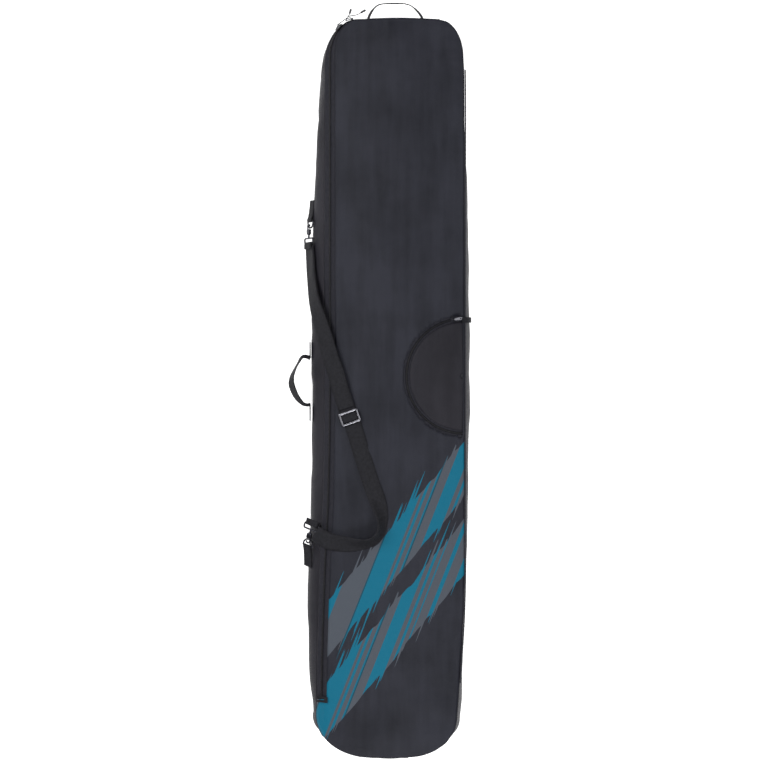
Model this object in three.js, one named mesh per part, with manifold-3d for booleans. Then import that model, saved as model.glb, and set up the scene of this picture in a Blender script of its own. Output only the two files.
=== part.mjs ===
// A padded bag for one snowboard, lying on its back on the floor.
// Millimetres. +X is to the right across the bag, +Y towards its top end, +Z up out of the front panel.
// The origin is under the middle of the bag and its handles, on the floor.
//
// The front panel opens on its right-hand seam. A zip runs up its left edge, round the corner and
// across the top. A pocket with a zip of its own is set into the front panel.

import * as THREE from 'three';
import { mergeVertices } from 'three/addons/utils/BufferGeometryUtils.js';
import Module from 'manifold-3d';

const wasm = await Module();
wasm.setup();

// ---------------------------------------------------------------- driving dimensions

const GAP = 0.3; // between neighbouring pieces
const SEAM_Z = 104; // top face of the front panel at its seams
const CROWN = 16; // how far the middle of the front panel stands above its seams
const TOP_BOW = 3; // how far the middle of each end bows out
const FABRIC = 1.5;
const PADDING = 4;
const BACK_PADDING = 6;
const LINING = 0.8;
const WALL = 3; // thickness of the padded side wall
const BELT_Z = 50; // height at which the side walls bulge furthest
const BAND_WIDTH = 22; // the zip's band, from the side wall's edge to the front panel's edge
const BAND_DROP = 16;
const ZIP_END_Y = -718; // lower end of the main zip
const TAPE = 0.8;
const COIL = 1.9; // width of one half of a zip's coil
const COIL_HEIGHT = 1.5;
const TAPE_EDGE = 1.4; // from the zip's middle line to the edge of a tape
const WEBBING = 38; // shoulder strap
const WEBBING_THICKNESS = 1.4;
const HANDLE_WEBBING = 25;
const POCKET = { x: 187, y: 6, outer: 135, inner: 121, flapEdge: 185, floor: 94 };

// ---------------------------------------------------------------- solids

function solid(geometry) {
  geometry.deleteAttribute('normal');
  geometry.deleteAttribute('uv');
  const merged = mergeVertices(geometry, 1e-3);
  merged.computeVertexNormals();
  return merged;
}

function toManifold(geometry) {
  return new wasm.Manifold(
    new wasm.Mesh({
      numProp: 3,
      vertProperties: new Float32Array(geometry.attributes.position.array),
      triVerts: new Uint32Array(geometry.index.array),
    })
  );
}

function fromManifold(body) {
  const mesh = body.getMesh();
  const geometry = new THREE.BufferGeometry();
  geometry.setAttribute('position', new THREE.BufferAttribute(mesh.vertProperties, 3));
  geometry.setIndex(new THREE.BufferAttribute(mesh.triVerts, 1));
  geometry.computeVertexNormals();
  return geometry;
}

function cut(geometry, ...tools) {
  return fromManifold(tools.reduce((body, tool) => body.subtract(toManifold(tool)), toManifold(geometry)));
}

function common(geometry, tool) {
  return fromManifold(toManifold(geometry).intersect(toManifold(tool)));
}

function join(...geometries) {
  return fromManifold(geometries.map(toManifold).reduce((body, next) => body.add(next)));
}

// A sheet with a thickness: two grids of points, front[i][j] and back[i][j], closed round their rims.
function sheet(front, back) {
  const rows = front.length;
  const columns = front[0].length;
  const positions = [...front, ...back].flat().flatMap((p) => [p.x, p.y, p.z]);
  const at = (side, i, j) => (side * rows + i) * columns + j;
  const index = [];
  const quad = (a, b, c, d) => index.push(a, b, c, a, c, d);
  for (let i = 0; i + 1 < rows; i++) {
    for (let j = 0; j + 1 < columns; j++) {
      quad(at(0, i, j), at(0, i + 1, j), at(0, i + 1, j + 1), at(0, i, j + 1));
      quad(at(1, i, j), at(1, i, j + 1), at(1, i + 1, j + 1), at(1, i + 1, j));
    }
    quad(at(0, i, 0), at(1, i, 0), at(1, i + 1, 0), at(0, i + 1, 0));
    const last = columns - 1;
    quad(at(0, i, last), at(0, i + 1, last), at(1, i + 1, last), at(1, i, last));
  }
  for (let j = 0; j + 1 < columns; j++) {
    quad(at(0, 0, j), at(0, 0, j + 1), at(1, 0, j + 1), at(1, 0, j));
    const last = rows - 1;
    quad(at(0, last, j), at(1, last, j), at(1, last, j + 1), at(0, last, j + 1));
  }
  const geometry = new THREE.BufferGeometry();
  geometry.setAttribute('position', new THREE.Float32BufferAttribute(positions, 3));
  geometry.setIndex(index);
  return volume(geometry) < 0 ? turnedOut(geometry) : solid(geometry);
}

function volume(geometry) {
  const p = geometry.attributes.position;
  const corner = (n) => new THREE.Vector3().fromBufferAttribute(p, geometry.index.getX(n));
  let total = 0;
  for (let n = 0; n < geometry.index.count; n += 3) {
    total += corner(n).dot(corner(n + 1).cross(corner(n + 2))) / 6;
  }
  return total;
}

function turnedOut(geometry) {
  const index = geometry.index.array;
  for (let n = 0; n < index.length; n += 3) {
    [index[n], index[n + 1]] = [index[n + 1], index[n]];
  }
  return solid(geometry);
}

// A round bar along a curve, with flat ends.
function bar(points, radius, steps, sides = 8, tension = 0.5) {
  const path = new THREE.CatmullRomCurve3(points, false, 'catmullrom', tension);
  const round = new THREE.Shape().absarc(0, 0, radius, 0, 2 * Math.PI);
  const options = { extrudePath: path, steps, bevelEnabled: false, curveSegments: sides / 2 };
  return solid(new THREE.ExtrudeGeometry(round, options));
}

function plate(shape, depth, z = 0, curveSegments = 8) {
  const geometry = new THREE.ExtrudeGeometry(shape, { depth, bevelEnabled: false, curveSegments });
  geometry.translate(0, 0, z);
  return solid(geometry);
}

function block(size, centre) {
  const geometry = new THREE.BoxGeometry(...size);
  geometry.translate(...centre);
  return solid(geometry);
}

const vector = (x, y, z) => new THREE.Vector3(x, y, z);
const mix = THREE.MathUtils.lerp;
const steps = (count) => Array.from({ length: count + 1 }, (_, n) => n / count);

// A smooth function of y through pairs of [y, value].
function along(pairs) {
  const curve = new THREE.CubicInterpolant(pairs.map((p) => p[0]), pairs.map((p) => p[1]), 1);
  return (y) => curve.evaluate(y)[0];
}

// ---------------------------------------------------------------- the bag's outlines, seen from above

// Each outline has a left and a right edge along y, two ends, and an ellipse at each corner.
const rim = {
  left: along([[-752, -121], [-718, -119.5], [-589, -117], [-409, -111], [-273, -104.5], [-48, -100.5],
    [300, -100.5], [600, -100.5], [731, -100.5]]),
  right: along([[-757, 171], [-675, 177], [-499, 187], [-300, 188], [0, 188],
    [400, 188], [674, 188], [717, 186]]),
  top: 801,
  bottom: -846,
  corners: { tl: [50, 70], tr: [52, 84], br: [108, 89], bl: [118, 94] },
};
const lip = {
  left: (y) => rim.left(y) - BAND_WIDTH,
  right: (y) => rim.right(y) + 0.5,
  top: 804,
  bottom: -849,
  corners: { tl: [72, 95], tr: [53, 86], br: [111, 92], bl: [126, 97] },
};
const belt = {
  left: along([[-752, -153], [-612, -163], [-386, -162], [-206, -155], [155, -156], [426, -149], [674, -135]]),
  right: along([[-757, 183], [-612, 190], [-386, 197], [-206, 201], [20, 203.9], [426, 197], [674, 189], [717, 187]]),
  top: 805,
  bottom: -852 + TOP_BOW,
  corners: { tl: [88, 128], tr: [55, 86], br: [115, 95], bl: [130, 98] },
};
const base = {
  left: (y) => rim.left(y) - BAND_WIDTH - 2,
  right: (y) => rim.right(y) - 1,
  top: 799,
  bottom: -845,
  corners: { tl: [74, 100], tr: [52, 84], br: [110, 90], bl: [125, 92] },
};

const SIDE = { left: 12, corner: 5, end: 4, right: 10 }; // stretches of an outline, in steps
const MARK = { left: 0 };
MARK.tl = MARK.left + SIDE.left;
MARK.top = MARK.tl + SIDE.corner;
MARK.tr = MARK.top + SIDE.end;
MARK.right = MARK.tr + SIDE.corner;
MARK.br = MARK.right + SIDE.right;
MARK.bottom = MARK.br + SIDE.corner;
MARK.bl = MARK.bottom + SIDE.end;
MARK.close = MARK.bl + SIDE.corner;

// The corners of an outline's straight stretches, where its ellipses start.
function frameOf(outline) {
  const { tl, tr, br, bl } = outline.corners;
  const y = { tl: outline.top - tl[1], tr: outline.top - tr[1] };
  y.br = outline.bottom + br[1];
  y.bl = outline.bottom + bl[1];
  const x = { tl: outline.left(y.tl) + tl[0], tr: outline.right(y.tr) - tr[0] };
  x.br = outline.right(y.br) - br[0];
  x.bl = outline.left(y.bl) + bl[0];
  return { x, y };
}

// The point at a step count round an outline, clockwise from the lower end of the left edge.
function outlinePoint(outline, place) {
  const { x, y } = frameOf(outline);
  const s = (place + MARK.close) % MARK.close;
  const corner = (name, turn, from) => {
    const angle = turn - ((s - from) / SIDE.corner) * (Math.PI / 2);
    const [rx, ry] = outline.corners[name];
    return new THREE.Vector2(x[name] + rx * Math.cos(angle), y[name] + ry * Math.sin(angle));
  };
  if (s < MARK.tl) {
    const here = mix(y.bl, y.tl, s / SIDE.left);
    return new THREE.Vector2(outline.left(here), here);
  }
  if (s < MARK.top) return corner('tl', Math.PI, MARK.tl);
  if (s < MARK.tr) {
    const t = (s - MARK.top) / SIDE.end;
    return new THREE.Vector2(mix(x.tl, x.tr, t), outline.top + TOP_BOW * Math.sin(Math.PI * t));
  }
  if (s < MARK.right) return corner('tr', Math.PI / 2, MARK.tr);
  if (s < MARK.br) {
    const here = mix(y.tr, y.br, (s - MARK.right) / SIDE.right);
    return new THREE.Vector2(outline.right(here), here);
  }
  if (s < MARK.bottom) return corner('br', 0, MARK.br);
  if (s < MARK.bl) {
    const t = (s - MARK.bottom) / SIDE.end;
    return new THREE.Vector2(mix(x.br, x.bl, t), outline.bottom - TOP_BOW * Math.sin(Math.PI * t));
  }
  return corner('bl', -Math.PI / 2, MARK.bl);
}

// The direction out of the bag at a place on an outline, seen from above.
function outward(outline, place) {
  const a = outlinePoint(outline, place - 0.05);
  const b = outlinePoint(outline, place + 0.05);
  return vector(a.y - b.y, b.x - a.x, 0).normalize();
}

// The places from one mark to another, drawn in a little at each end to leave a gap to the neighbour.
function places(from, to) {
  const list = [];
  for (let s = Math.floor(from) + 1; s < to; s++) list.push(s);
  const nudge = (place, next) => {
    const length = outlinePoint(belt, place).distanceTo(outlinePoint(belt, next));
    return place + (Math.sign(next - place) * GAP * 0.5 * Math.abs(next - place)) / length;
  };
  return [nudge(from, list[0]), ...list, nudge(to, list[list.length - 1])];
}

// Height of the side wall's upper edge: low beside the zip's band, high at the right-hand seam.
function lipHeight(place) {
  const high = SEAM_Z - FABRIC - 2 * GAP;
  const low = high - BAND_DROP;
  if (place < MARK.tr || place > MARK.bottom) return low;
  if (place < MARK.right) return mix(low, high, (place - MARK.tr) / SIDE.corner);
  return place < MARK.br ? high : mix(high, low, (place - MARK.br) / SIDE.corner);
}

// ---------------------------------------------------------------- the shell

const SKIN_TOP = FABRIC + GAP; // where the side walls stand on the back panel's edge

function wallPoint(place, height, depth) {
  const low = outlinePoint(base, place);
  const middle = outlinePoint(belt, place);
  const high = outlinePoint(lip, place);
  const bend = (a, m, b) => a * (1 - height) ** 2 + (4 * m - a - b) * height * (1 - height) + b * height ** 2;
  const z = bend(SKIN_TOP, BELT_Z, lipHeight(place));
  const point = vector(bend(low.x, middle.x, high.x), bend(low.y, middle.y, high.y), z);
  return point.addScaledVector(outward(belt, place), -depth);
}

function wall(from, to) {
  const stations = places(from, to);
  const face = (depth) => stations.map((s) => steps(6).map((h) => wallPoint(s, h, depth)));
  return sheet(face(0), face(WALL));
}

// Flat layers of the back: fabric, padding and lining.
function backLayer(inset, thickness, z) {
  const shape = new THREE.Shape();
  for (let s = 0; s < MARK.close; s++) {
    const point = outlinePoint(base, s);
    const inwards = outward(base, s);
    point.x -= inwards.x * inset;
    point.y -= inwards.y * inset;
    if (s === 0) shape.moveTo(point.x, point.y);
    else shape.lineTo(point.x, point.y);
  }
  return plate(shape, thickness, z);
}

// Left and right edges of the front panel at a height y, with the round corners.
function edgeX(outline, side, y) {
  const { y: start } = frameOf(outline);
  const names = side === 'left' ? ['tl', 'bl'] : ['tr', 'br'];
  const sign = side === 'left' ? 1 : -1;
  for (const name of names) {
    const past = name[0] === 't' ? y - start[name] : start[name] - y;
    if (past > 0) {
      const [rx, ry] = outline.corners[name];
      return outline[side](start[name]) + sign * rx * (1 - Math.sqrt(Math.max(0, 1 - (past / ry) ** 2)));
    }
  }
  return outline[side](y);
}

// Height of the front panel's top face.
function crown(x, y) {
  const across = (x - rim.left(y)) / (rim.right(y) - rim.left(y));
  const ends = 1 - 0.6 * Math.min(1, Math.abs(y + 22) / 830) ** 6;
  return SEAM_Z + CROWN * Math.sin(Math.PI * THREE.MathUtils.clamp(across, 0, 1)) * ends;
}

// A layer of the front panel, between two depths below its top face.
function panelLayer(inset, upper, lower, lowY = ZIP_END_Y) {
  const rows = steps(15).map((t) => mix(lowY + GAP / 2 + inset, 700, t));
  rows.push(...steps(7).slice(1).map((t) => 700 + (rim.top - inset - 700) * Math.sin((t * Math.PI) / 2)));
  const face = (depth) =>
    rows.map((y) => {
      const reach = Math.min(y + inset * Math.max(0, (y - 700) / 100), rim.top);
      const left = edgeX(rim, 'left', reach) + inset;
      const right = edgeX(rim, 'right', reach) - inset;
      return steps(8).map((t) => {
        const x = mix(left, right, t);
        const bow = Math.max(0, (y - 700) / 101) ** 2 * TOP_BOW * Math.sin(Math.PI * t);
        return vector(x, y + bow, crown(x, y) - depth);
      });
    });
  return sheet(face(upper), face(lower));
}

// The front panel below the zip's end wraps down over the sides and the bottom end.
function footHeight(x, y) {
  const side = THREE.MathUtils.clamp((rim.left(y) - x) / BAND_WIDTH, 0, 1);
  const end = THREE.MathUtils.clamp((-780 - y) / 69, 0, 1);
  const atSeam = THREE.MathUtils.clamp((rim.right(y) - x) / 60, 0, 1);
  return crown(x, y) - BAND_DROP * side - BAND_DROP * end * end * (0.4 + 0.6 * atSeam) * (1 - side);
}

function foot(inset, upper, lower) {
  const rows = steps(6).map((t) => mix(ZIP_END_Y - GAP / 2, lip.bottom + inset, Math.sin((t * Math.PI) / 2)));
  const face = (depth) =>
    rows.map((y) => {
      const reach = Math.max(y, lip.bottom);
      const left = edgeX(lip, 'left', reach) + inset;
      const right = edgeX(rim, 'right', Math.max(reach, rim.bottom)) - inset;
      return [0, 0.07, 0.2, 0.35, 0.5, 0.65, 0.8, 0.93, 1].map((t) => {
        const x = mix(left, right, t);
        return vector(x, y, footHeight(x, y) - depth);
      });
    });
  return sheet(face(upper), face(lower));
}

// ---------------------------------------------------------------- the main zip

const ZIP_START = SIDE.left * ((ZIP_END_Y + 752) / (731 + 752));
const ZIP_STOP = MARK.tr;

// The zip's band at a place: its middle line, its direction along the zip, across it and out of it.
function band(place) {
  const low = outlinePoint(lip, place);
  const high = outlinePoint(rim, place);
  const a = vector(low.x, low.y, SEAM_Z - BAND_DROP + GAP);
  const b = vector(high.x, high.y, SEAM_Z - FABRIC - GAP);
  const lowNext = outlinePoint(lip, place + 0.02);
  const highNext = outlinePoint(rim, place + 0.02);
  const run = vector(lowNext.x + highNext.x - low.x - high.x, lowNext.y + highNext.y - low.y - high.y, 0);
  run.normalize();
  const across = b.clone().sub(a);
  across.addScaledVector(run, -across.dot(run));
  const half = across.length() / 2 - GAP;
  across.normalize();
  const normal = across.clone().cross(run);
  const middle = a.clone().add(b).multiplyScalar(0.5);
  return { middle, run, across, normal, half };
}

// A strip of the band, from one distance across it to another, and between two heights off the tape.
function bandStrip(near, far, low, high) {
  const stations = [ZIP_START + 0.01];
  for (let s = 1; s < ZIP_STOP; s += s < MARK.tl - 1 || s >= MARK.top ? 1 : 0.5) stations.push(s);
  stations.push(ZIP_STOP - 0.01);
  const face = (height) =>
    stations.map((place) => {
      const at = band(place);
      const edge = (d) => (Math.abs(d) > 9 ? Math.sign(d) * at.half : d);
      return [near, far].map((d) =>
        at.middle.clone().addScaledVector(at.across, edge(d)).addScaledVector(at.normal, height)
      );
    });
  return sheet(face(low), face(high));
}

// A zip slider on its side: a top plate and a lower plate joined by a post, and a bridge for the pull.
function sliderShape() {
  const outline = new THREE.Shape();
  outline.moveTo(-10, -3.6);
  outline.lineTo(6, -5.5);
  outline.quadraticCurveTo(11, -4.5, 10, 0);
  outline.quadraticCurveTo(11, 4.5, 6, 5.5);
  outline.lineTo(-10, 3.6);
  const room = 1.4; // the zip bends between the plates
  const above = TAPE + GAP + COIL_HEIGHT + room;
  const top = plate(outline, 1.4, above, 4);
  const bottom = plate(outline, 1.2, -room - 1.2, 4);
  const post = block([4.4, 1.4, above + room + 0.8], [6.5, 0, (above - room) / 2]);
  const bridge = bar([[-6, 1.2], [-6, 3.6], [0, 4.6], [5, 3.4], [5, 1.2]].map(([x, z]) => vector(x, 0, above + z - 0.4)), 0.9, 10, 6);
  return join(join(top, bottom, post), bridge);
}

const POST_ROOM = [5.2, 2, 12]; // room that a coil leaves for a slider's post

function onBand(place, turned = false) {
  const at = band(place);
  const forward = at.run.clone().multiplyScalar(turned ? -1 : 1);
  const across = at.normal.clone().cross(forward);
  return new THREE.Matrix4().makeBasis(forward, across, at.normal).setPosition(at.middle);
}

function postRoom(matrix) {
  const room = block(POST_ROOM, [6.5, 0, 0]);
  room.applyMatrix4(matrix);
  return room;
}

const SLIDER_PLACE = { lower: MARK.tl + SIDE.corner * 0.56, upper: MARK.tl + SIDE.corner * 0.82 };

// ---------------------------------------------------------------- the pocket

// A half ring of the pocket's D shape, left of its straight edge, as a tall prism.
function pocketPrism(outer, inner, edge = POCKET.flapEdge, low = 60, high = 140) {
  const shape = new THREE.Shape();
  const corner = (r) => Math.acos((edge - POCKET.x) / r);
  shape.absarc(POCKET.x, POCKET.y, outer, corner(outer), 2 * Math.PI - corner(outer), false);
  if (inner > 0) {
    shape.absarc(POCKET.x, POCKET.y, inner, 2 * Math.PI - corner(inner), corner(inner), true);
  }
  return plate(shape, high - low, low, 20);
}

const ZIP_LINE = (POCKET.outer + POCKET.inner) / 2;
const POCKET_SLIDER_ANGLE = 99; // round the pocket's zip, from +X

// ---------------------------------------------------------------- straps and hardware

// Height of the bag's outside at a place over its front, its zip band or the round of its left wall.
function surface(x, y) {
  const inner = rim.left(y);
  if (x >= inner) return crown(x, y);
  const low = lip.left(y);
  if (x >= low) return mix(SEAM_Z - BAND_DROP, SEAM_Z, (x - low) / BAND_WIDTH) + TAPE + GAP + COIL_HEIGHT;
  const round = (low - x) / (low - belt.left(y) + 3);
  return round >= 1 ? 0 : mix(BELT_Z, SEAM_Z - BAND_DROP, Math.sqrt(1 - round * round)) + TAPE;
}

const CLEAR = 0.8; // under the shoulder strap

function laidOn({ at, side, half }) {
  const needed = [-1, -0.5, 0, 0.5, 1].map((t) => {
    const reach = t * half;
    return surface(at.x + side.x * reach, at.y + side.y * reach) - side.z * reach;
  });
  at.z = Math.max(at.z, ...needed.map((z) => z + CLEAR));
}

// A strap of webbing along hand-set stations: centre, the way its face looks, and its width.
function webbing(stations, width, thickness, lift, count, laid = false) {
  const curve = new THREE.CatmullRomCurve3(stations.map((s) => vector(...s.at)), false, 'centripetal');
  const faces = new THREE.CatmullRomCurve3(stations.map((s) => vector(...s.faces)));
  const widths = new THREE.CatmullRomCurve3(stations.map((s) => vector(s.width ?? width, 0, 0)));
  const rows = steps(count).map((t) => {
    const run = curve.getTangent(t);
    const side = run.clone().cross(faces.getPoint(t)).normalize();
    const face = side.clone().cross(run).normalize();
    const row = { at: curve.getPoint(t), side, face, half: widths.getPoint(t).x / 2 };
    if (laid) laidOn(row);
    return row;
  });
  const grid = (height) =>
    rows.map(({ at, side, face, half }) =>
      steps(2).map((t) => at.clone().addScaledVector(side, mix(-half, half, t)).addScaledVector(face, height))
    );
  return sheet(grid(lift), grid(lift + thickness));
}

// A flat loop of round bar, open by a hair where its ends meet.
function loop(points, radius, count) {
  return bar(points.map(([x, y]) => vector(x, y, 0)), radius, count, 8, 0.35);
}

// D-ring, snap hook, gate and swivel eye, drawn along +X from the ring's straight bar at 0.
const RING = 1.9;

function dRing() {
  const width = 12;
  const round = steps(8).map((t) => {
    const angle = Math.PI / 2 - Math.PI * t;
    return [5 + 11 * Math.cos(angle), width * Math.sin(angle)];
  });
  return loop([[0, 0.3], [0, width - 1], [1.5, width], ...round, [1.5, -width], [0, 1 - width], [0, -0.3]], RING, 34);
}

function hook() {
  const wire = bar([[20, -4.2], [12, -4.6], [9, -1.5], [10, 2.6], [13, 4.4]].map(([x, y]) => vector(x, y, 4.3)), 1.7, 12);
  const barrel = block([12, 12.5, 6.5], [25.5, 0, 4.3]);
  return join(wire, barrel);
}

function gate() {
  return block([3.9, 2.2, 2.4], [17.1, 4.2, 4.3]);
}

function swivelEye(halfWidth) {
  const stem = new THREE.CylinderGeometry(2.2, 2.2, 8, 8);
  stem.rotateZ(Math.PI / 2);
  stem.translate(35.9, 0, 4.3);
  const end = [[40, 0.3], [40, halfWidth - 3], [43, halfWidth], [49, halfWidth], [52, halfWidth - 3]];
  const mirrored = end.map(([x, y]) => [x, -y]).reverse();
  const ring = bar([...end, [52, 0], ...mirrored].map(([x, y]) => vector(x, y, 4.3)), 1.9, 40, 8, 0.3);
  return join(solid(stem), ring);
}

// Where each set of hardware lies: its ring's bar, the way it points, and the way its face looks.
function hardwareFrame(at, points, faces) {
  const forward = vector(...points).normalize();
  const across = vector(...faces).cross(forward).normalize();
  const out = forward.clone().cross(across).normalize();
  return new THREE.Matrix4().makeBasis(forward, across, out).setPosition(...at);
}

const HARDWARE = {
  upper: hardwareFrame([-157, 357, 52], [0, -1, 0], [-0.86, 0, 0.5]),
  lower: hardwareFrame([-163, -376, 74], [0.25, 0.95, 0.2], [-0.45, 0, 0.89]),
};

// The strap's route: from the upper eye, over the zip and the panel, round a turn and back to the lower eye.
const onPanel = (x, y, up = 1.2) => [x, y, crown(x, y) + up];
const STRAP = [
  { at: [-159, 300, 51], faces: [-0.88, 0, 0.47], width: 34 },
  { at: [-157, 272, 54], faces: [-0.88, 0, 0.47] },
  { at: [-154.5, 234, 62], faces: [-0.88, 0, 0.5] },
  { at: [-147.5, 178, 84], faces: [-0.8, 0, 0.6] },
  { at: [-135, 133, 99], faces: [-0.62, 0, 0.78] },
  { at: [-124, 98, 106], faces: [-0.5, 0, 0.86] },
  { at: [-110.5, 49, 110], faces: [-0.35, 0, 0.94] },
  { at: [-99, 15, 113], faces: [-0.22, 0, 0.97] },
  { at: [-88, -25, 115.5], faces: [-0.15, 0, 0.99] },
  { at: onPanel(-74.4, -66, 4), faces: [-0.1, 0, 1] },
  { at: onPanel(-56, -116, 4), faces: [-0.05, 0, 1] },
  { at: onPanel(-41, -165, 3), faces: [0, 0, 1] },
  { at: onPanel(-22.6, -224, 3), faces: [0.1, 0, 1] },
  { at: onPanel(-9, -262), faces: [0.2, 0, 1] },
  { at: onPanel(-1, -295), faces: [0.45, -0.1, 0.9] },
  { at: onPanel(0, -322), faces: [0.55, -0.25, 0.8] },
  { at: onPanel(-7, -345), faces: [0.4, -0.5, 0.8] },
  { at: onPanel(-24, -360), faces: [0.15, -0.55, 0.8] },
  { at: onPanel(-46, -367), faces: [0, -0.45, 0.9] },
  { at: onPanel(-76, -369), faces: [-0.1, -0.25, 0.95] },
  { at: [-108, -364, 112], faces: [-0.35, -0.1, 0.93] },
  { at: [-131, -354, 106], faces: [-0.45, 0, 0.88] },
  { at: [-145, -344, 102], faces: [-0.45, 0, 0.88], width: 34 },
];

const CORD = 1.9;
const PULL_ROUTE = {
  lower: [
    [-96, 789.8, 101.8], [-90, 794, 105.2], [-82, 799, 107.5], [-74.5, 804.8, 106.4], [-70, 811.5, 101.6],
    [-67.6, 817.6, 95.6], [-65.4, 829, 82],
  ],
  upper: [
    [-71.2, 808.9, 98.6], [-66, 811, 100.4], [-59, 812.2, 99.8], [-52.5, 814, 96.8], [-46.8, 817.4, 92.4],
    [-42.4, 820.8, 87.2], [-33.5, 828.4, 75],
  ],
};

const BUCKLE_AT = 9; // the station of the strap that the buckle sits near

function buckleFrame() {
  const [before, at, after] = [BUCKLE_AT - 1, BUCKLE_AT, BUCKLE_AT + 1].map((n) => vector(...STRAP[n].at));
  const run = after.sub(before).normalize();
  const across = vector(...STRAP[BUCKLE_AT].faces).cross(run).normalize();
  const out = run.clone().cross(across).normalize();
  const centre = at.lerp(vector(...STRAP[BUCKLE_AT + 1].at), 0.4).addScaledVector(out, 4.6);
  return new THREE.Matrix4().makeBasis(run, across, out).setPosition(centre);
}

// A frame of flat bar with a middle bar, lying on the webbing.
function buckle() {
  const round = (halfX, halfY, radius) => {
    const shape = new THREE.Shape();
    shape.absarc(halfX - radius, halfY - radius, radius, 0, Math.PI / 2);
    shape.absarc(radius - halfX, halfY - radius, radius, Math.PI / 2, Math.PI);
    shape.absarc(radius - halfX, radius - halfY, radius, Math.PI, 1.5 * Math.PI);
    shape.absarc(halfX - radius, radius - halfY, radius, 1.5 * Math.PI, 2 * Math.PI);
    return shape;
  };
  const frame = cut(plate(round(14.5, 22, 4), 3, 0, 4), plate(round(11, 18.6, 2), 5, -1, 4));
  return join(frame, block([3, 40, 2.2], [0, 0, 1.4]));
}

// ---------------------------------------------------------------- handles

const SIDE_HANDLE = [
  { at: [-161, 46, 50], faces: [-0.3, 1, 0], width: 6 },
  { at: [-171, 50.5, 50], faces: [-0.4, 1, 0], width: 9 },
  { at: [-180, 44, 50], faces: [-0.8, 0.6, 0], width: 22 },
  { at: [-190, 27, 50], faces: [-0.85, 0.5, 0] },
  { at: [-200, 5, 50], faces: [-1, 0.3, 0] },
  { at: [-201.5, -14, 50], faces: [-1, -0.1, 0.3] },
  { at: [-190, -39, 50], faces: [-0.8, -0.6, 0.4], width: 22 },
  { at: [-174, -56, 50], faces: [-0.6, -0.8, 0.1], width: 9 },
  { at: [-161, -58.5, 50], faces: [-0.2, -1, 0], width: 6 },
];
const TOP_HANDLE = [
  { at: [-27, 812, 54], faces: [-1, 0.3, 0], width: 6 },
  { at: [-22, 824, 54], faces: [-0.9, 0.4, 0], width: 12 },
  { at: [-12, 842, 54], faces: [-0.8, 0.6, 0] },
  { at: [3, 849, 54], faces: [-0.2, 1, 0] },
  { at: [33, 849.4, 54], faces: [0, 1, 0] },
  { at: [62, 849, 54], faces: [0.2, 1, 0] },
  { at: [76, 842, 54], faces: [0.8, 0.6, 0] },
  { at: [91, 824, 54], faces: [0.8, 0.6, 0], width: 12 },
  { at: [97, 812, 54], faces: [0.9, 0.3, 0], width: 6 },
];

function patch(size, centre) {
  return solid(new THREE.BoxGeometry(...size).translate(...centre));
}

// ---------------------------------------------------------------- the assembly

const FINISH = {
  shell: [0x23242b, 0.7, 0],
  lining: [0x2a2b30, 0.9, 0],
  foam: [0x5b5d63, 0.95, 0],
  webbing: [0x1c1c20, 0.85, 0],
  zip: [0x1a1a1e, 0.6, 0],
  metal: [0xb4b6b8, 0.3, 1],
  dark_metal: [0x4a4b4e, 0.4, 1],
  cord: [0x17171a, 0.8, 0],
  grip: [0x202023, 0.55, 0],
};

const bag = new THREE.Group();

function add(name, finish, geometry, matrix) {
  const [color, roughness, metalness] = FINISH[finish];
  const mesh = new THREE.Mesh(geometry, new THREE.MeshStandardMaterial({ color, roughness, metalness }));
  mesh.name = name;
  if (matrix) mesh.applyMatrix4(matrix);
  bag.add(mesh);
}

function addShell() {
  add('back_panel', 'shell', backLayer(0, FABRIC, 0));
  add('back_padding', 'foam', backLayer(6, BACK_PADDING, SKIN_TOP));
  add('back_lining', 'lining', backLayer(7, LINING, SKIN_TOP + BACK_PADDING + GAP));
  add('gusset_left', 'shell', wall(MARK.left, MARK.tl));
  add('gusset_top', 'shell', wall(MARK.tl, MARK.right));
  add('gusset_right', 'shell', wall(MARK.right, MARK.br));
  add('gusset_bottom', 'shell', wall(MARK.br, MARK.close));
  add('front_foot', 'shell', foot(0, 0, FABRIC));
}

function addFront() {
  const outer = pocketPrism(POCKET.outer, 0);
  const under = FABRIC + GAP;
  const below = under + PADDING + GAP;
  add('front_panel', 'shell', cut(panelLayer(0, 0, FABRIC), outer));
  const roomForPouch = pocketPrism(POCKET.outer + 5, 0, POCKET.flapEdge + 2);
  add('front_padding', 'foam', cut(panelLayer(9, under, under + PADDING), roomForPouch));
  add('front_lining', 'lining', cut(panelLayer(9, below, below + LINING), roomForPouch));
}

function addMainZip() {
  const sliderRooms = [SLIDER_PLACE.lower, SLIDER_PLACE.upper].map((place, n) => postRoom(onBand(place, n === 0)));
  add('zip_tape_bag_side', 'zip', bandStrip(-99, -TAPE_EDGE, 0, TAPE));
  add('zip_tape_panel_side', 'zip', bandStrip(TAPE_EDGE, 99, 0, TAPE));
  const coil = (near, far) => cut(bandStrip(near, far, TAPE + GAP, TAPE + GAP + COIL_HEIGHT), ...sliderRooms);
  add('zip_coil_bag_side', 'zip', coil(-COIL - GAP / 2, -GAP / 2));
  add('zip_coil_panel_side', 'zip', coil(GAP / 2, COIL + GAP / 2));
  add('zip_slider_lower', 'dark_metal', sliderShape(), onBand(SLIDER_PLACE.lower, true));
  add('zip_slider_upper', 'dark_metal', sliderShape(), onBand(SLIDER_PLACE.upper));
}

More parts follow.
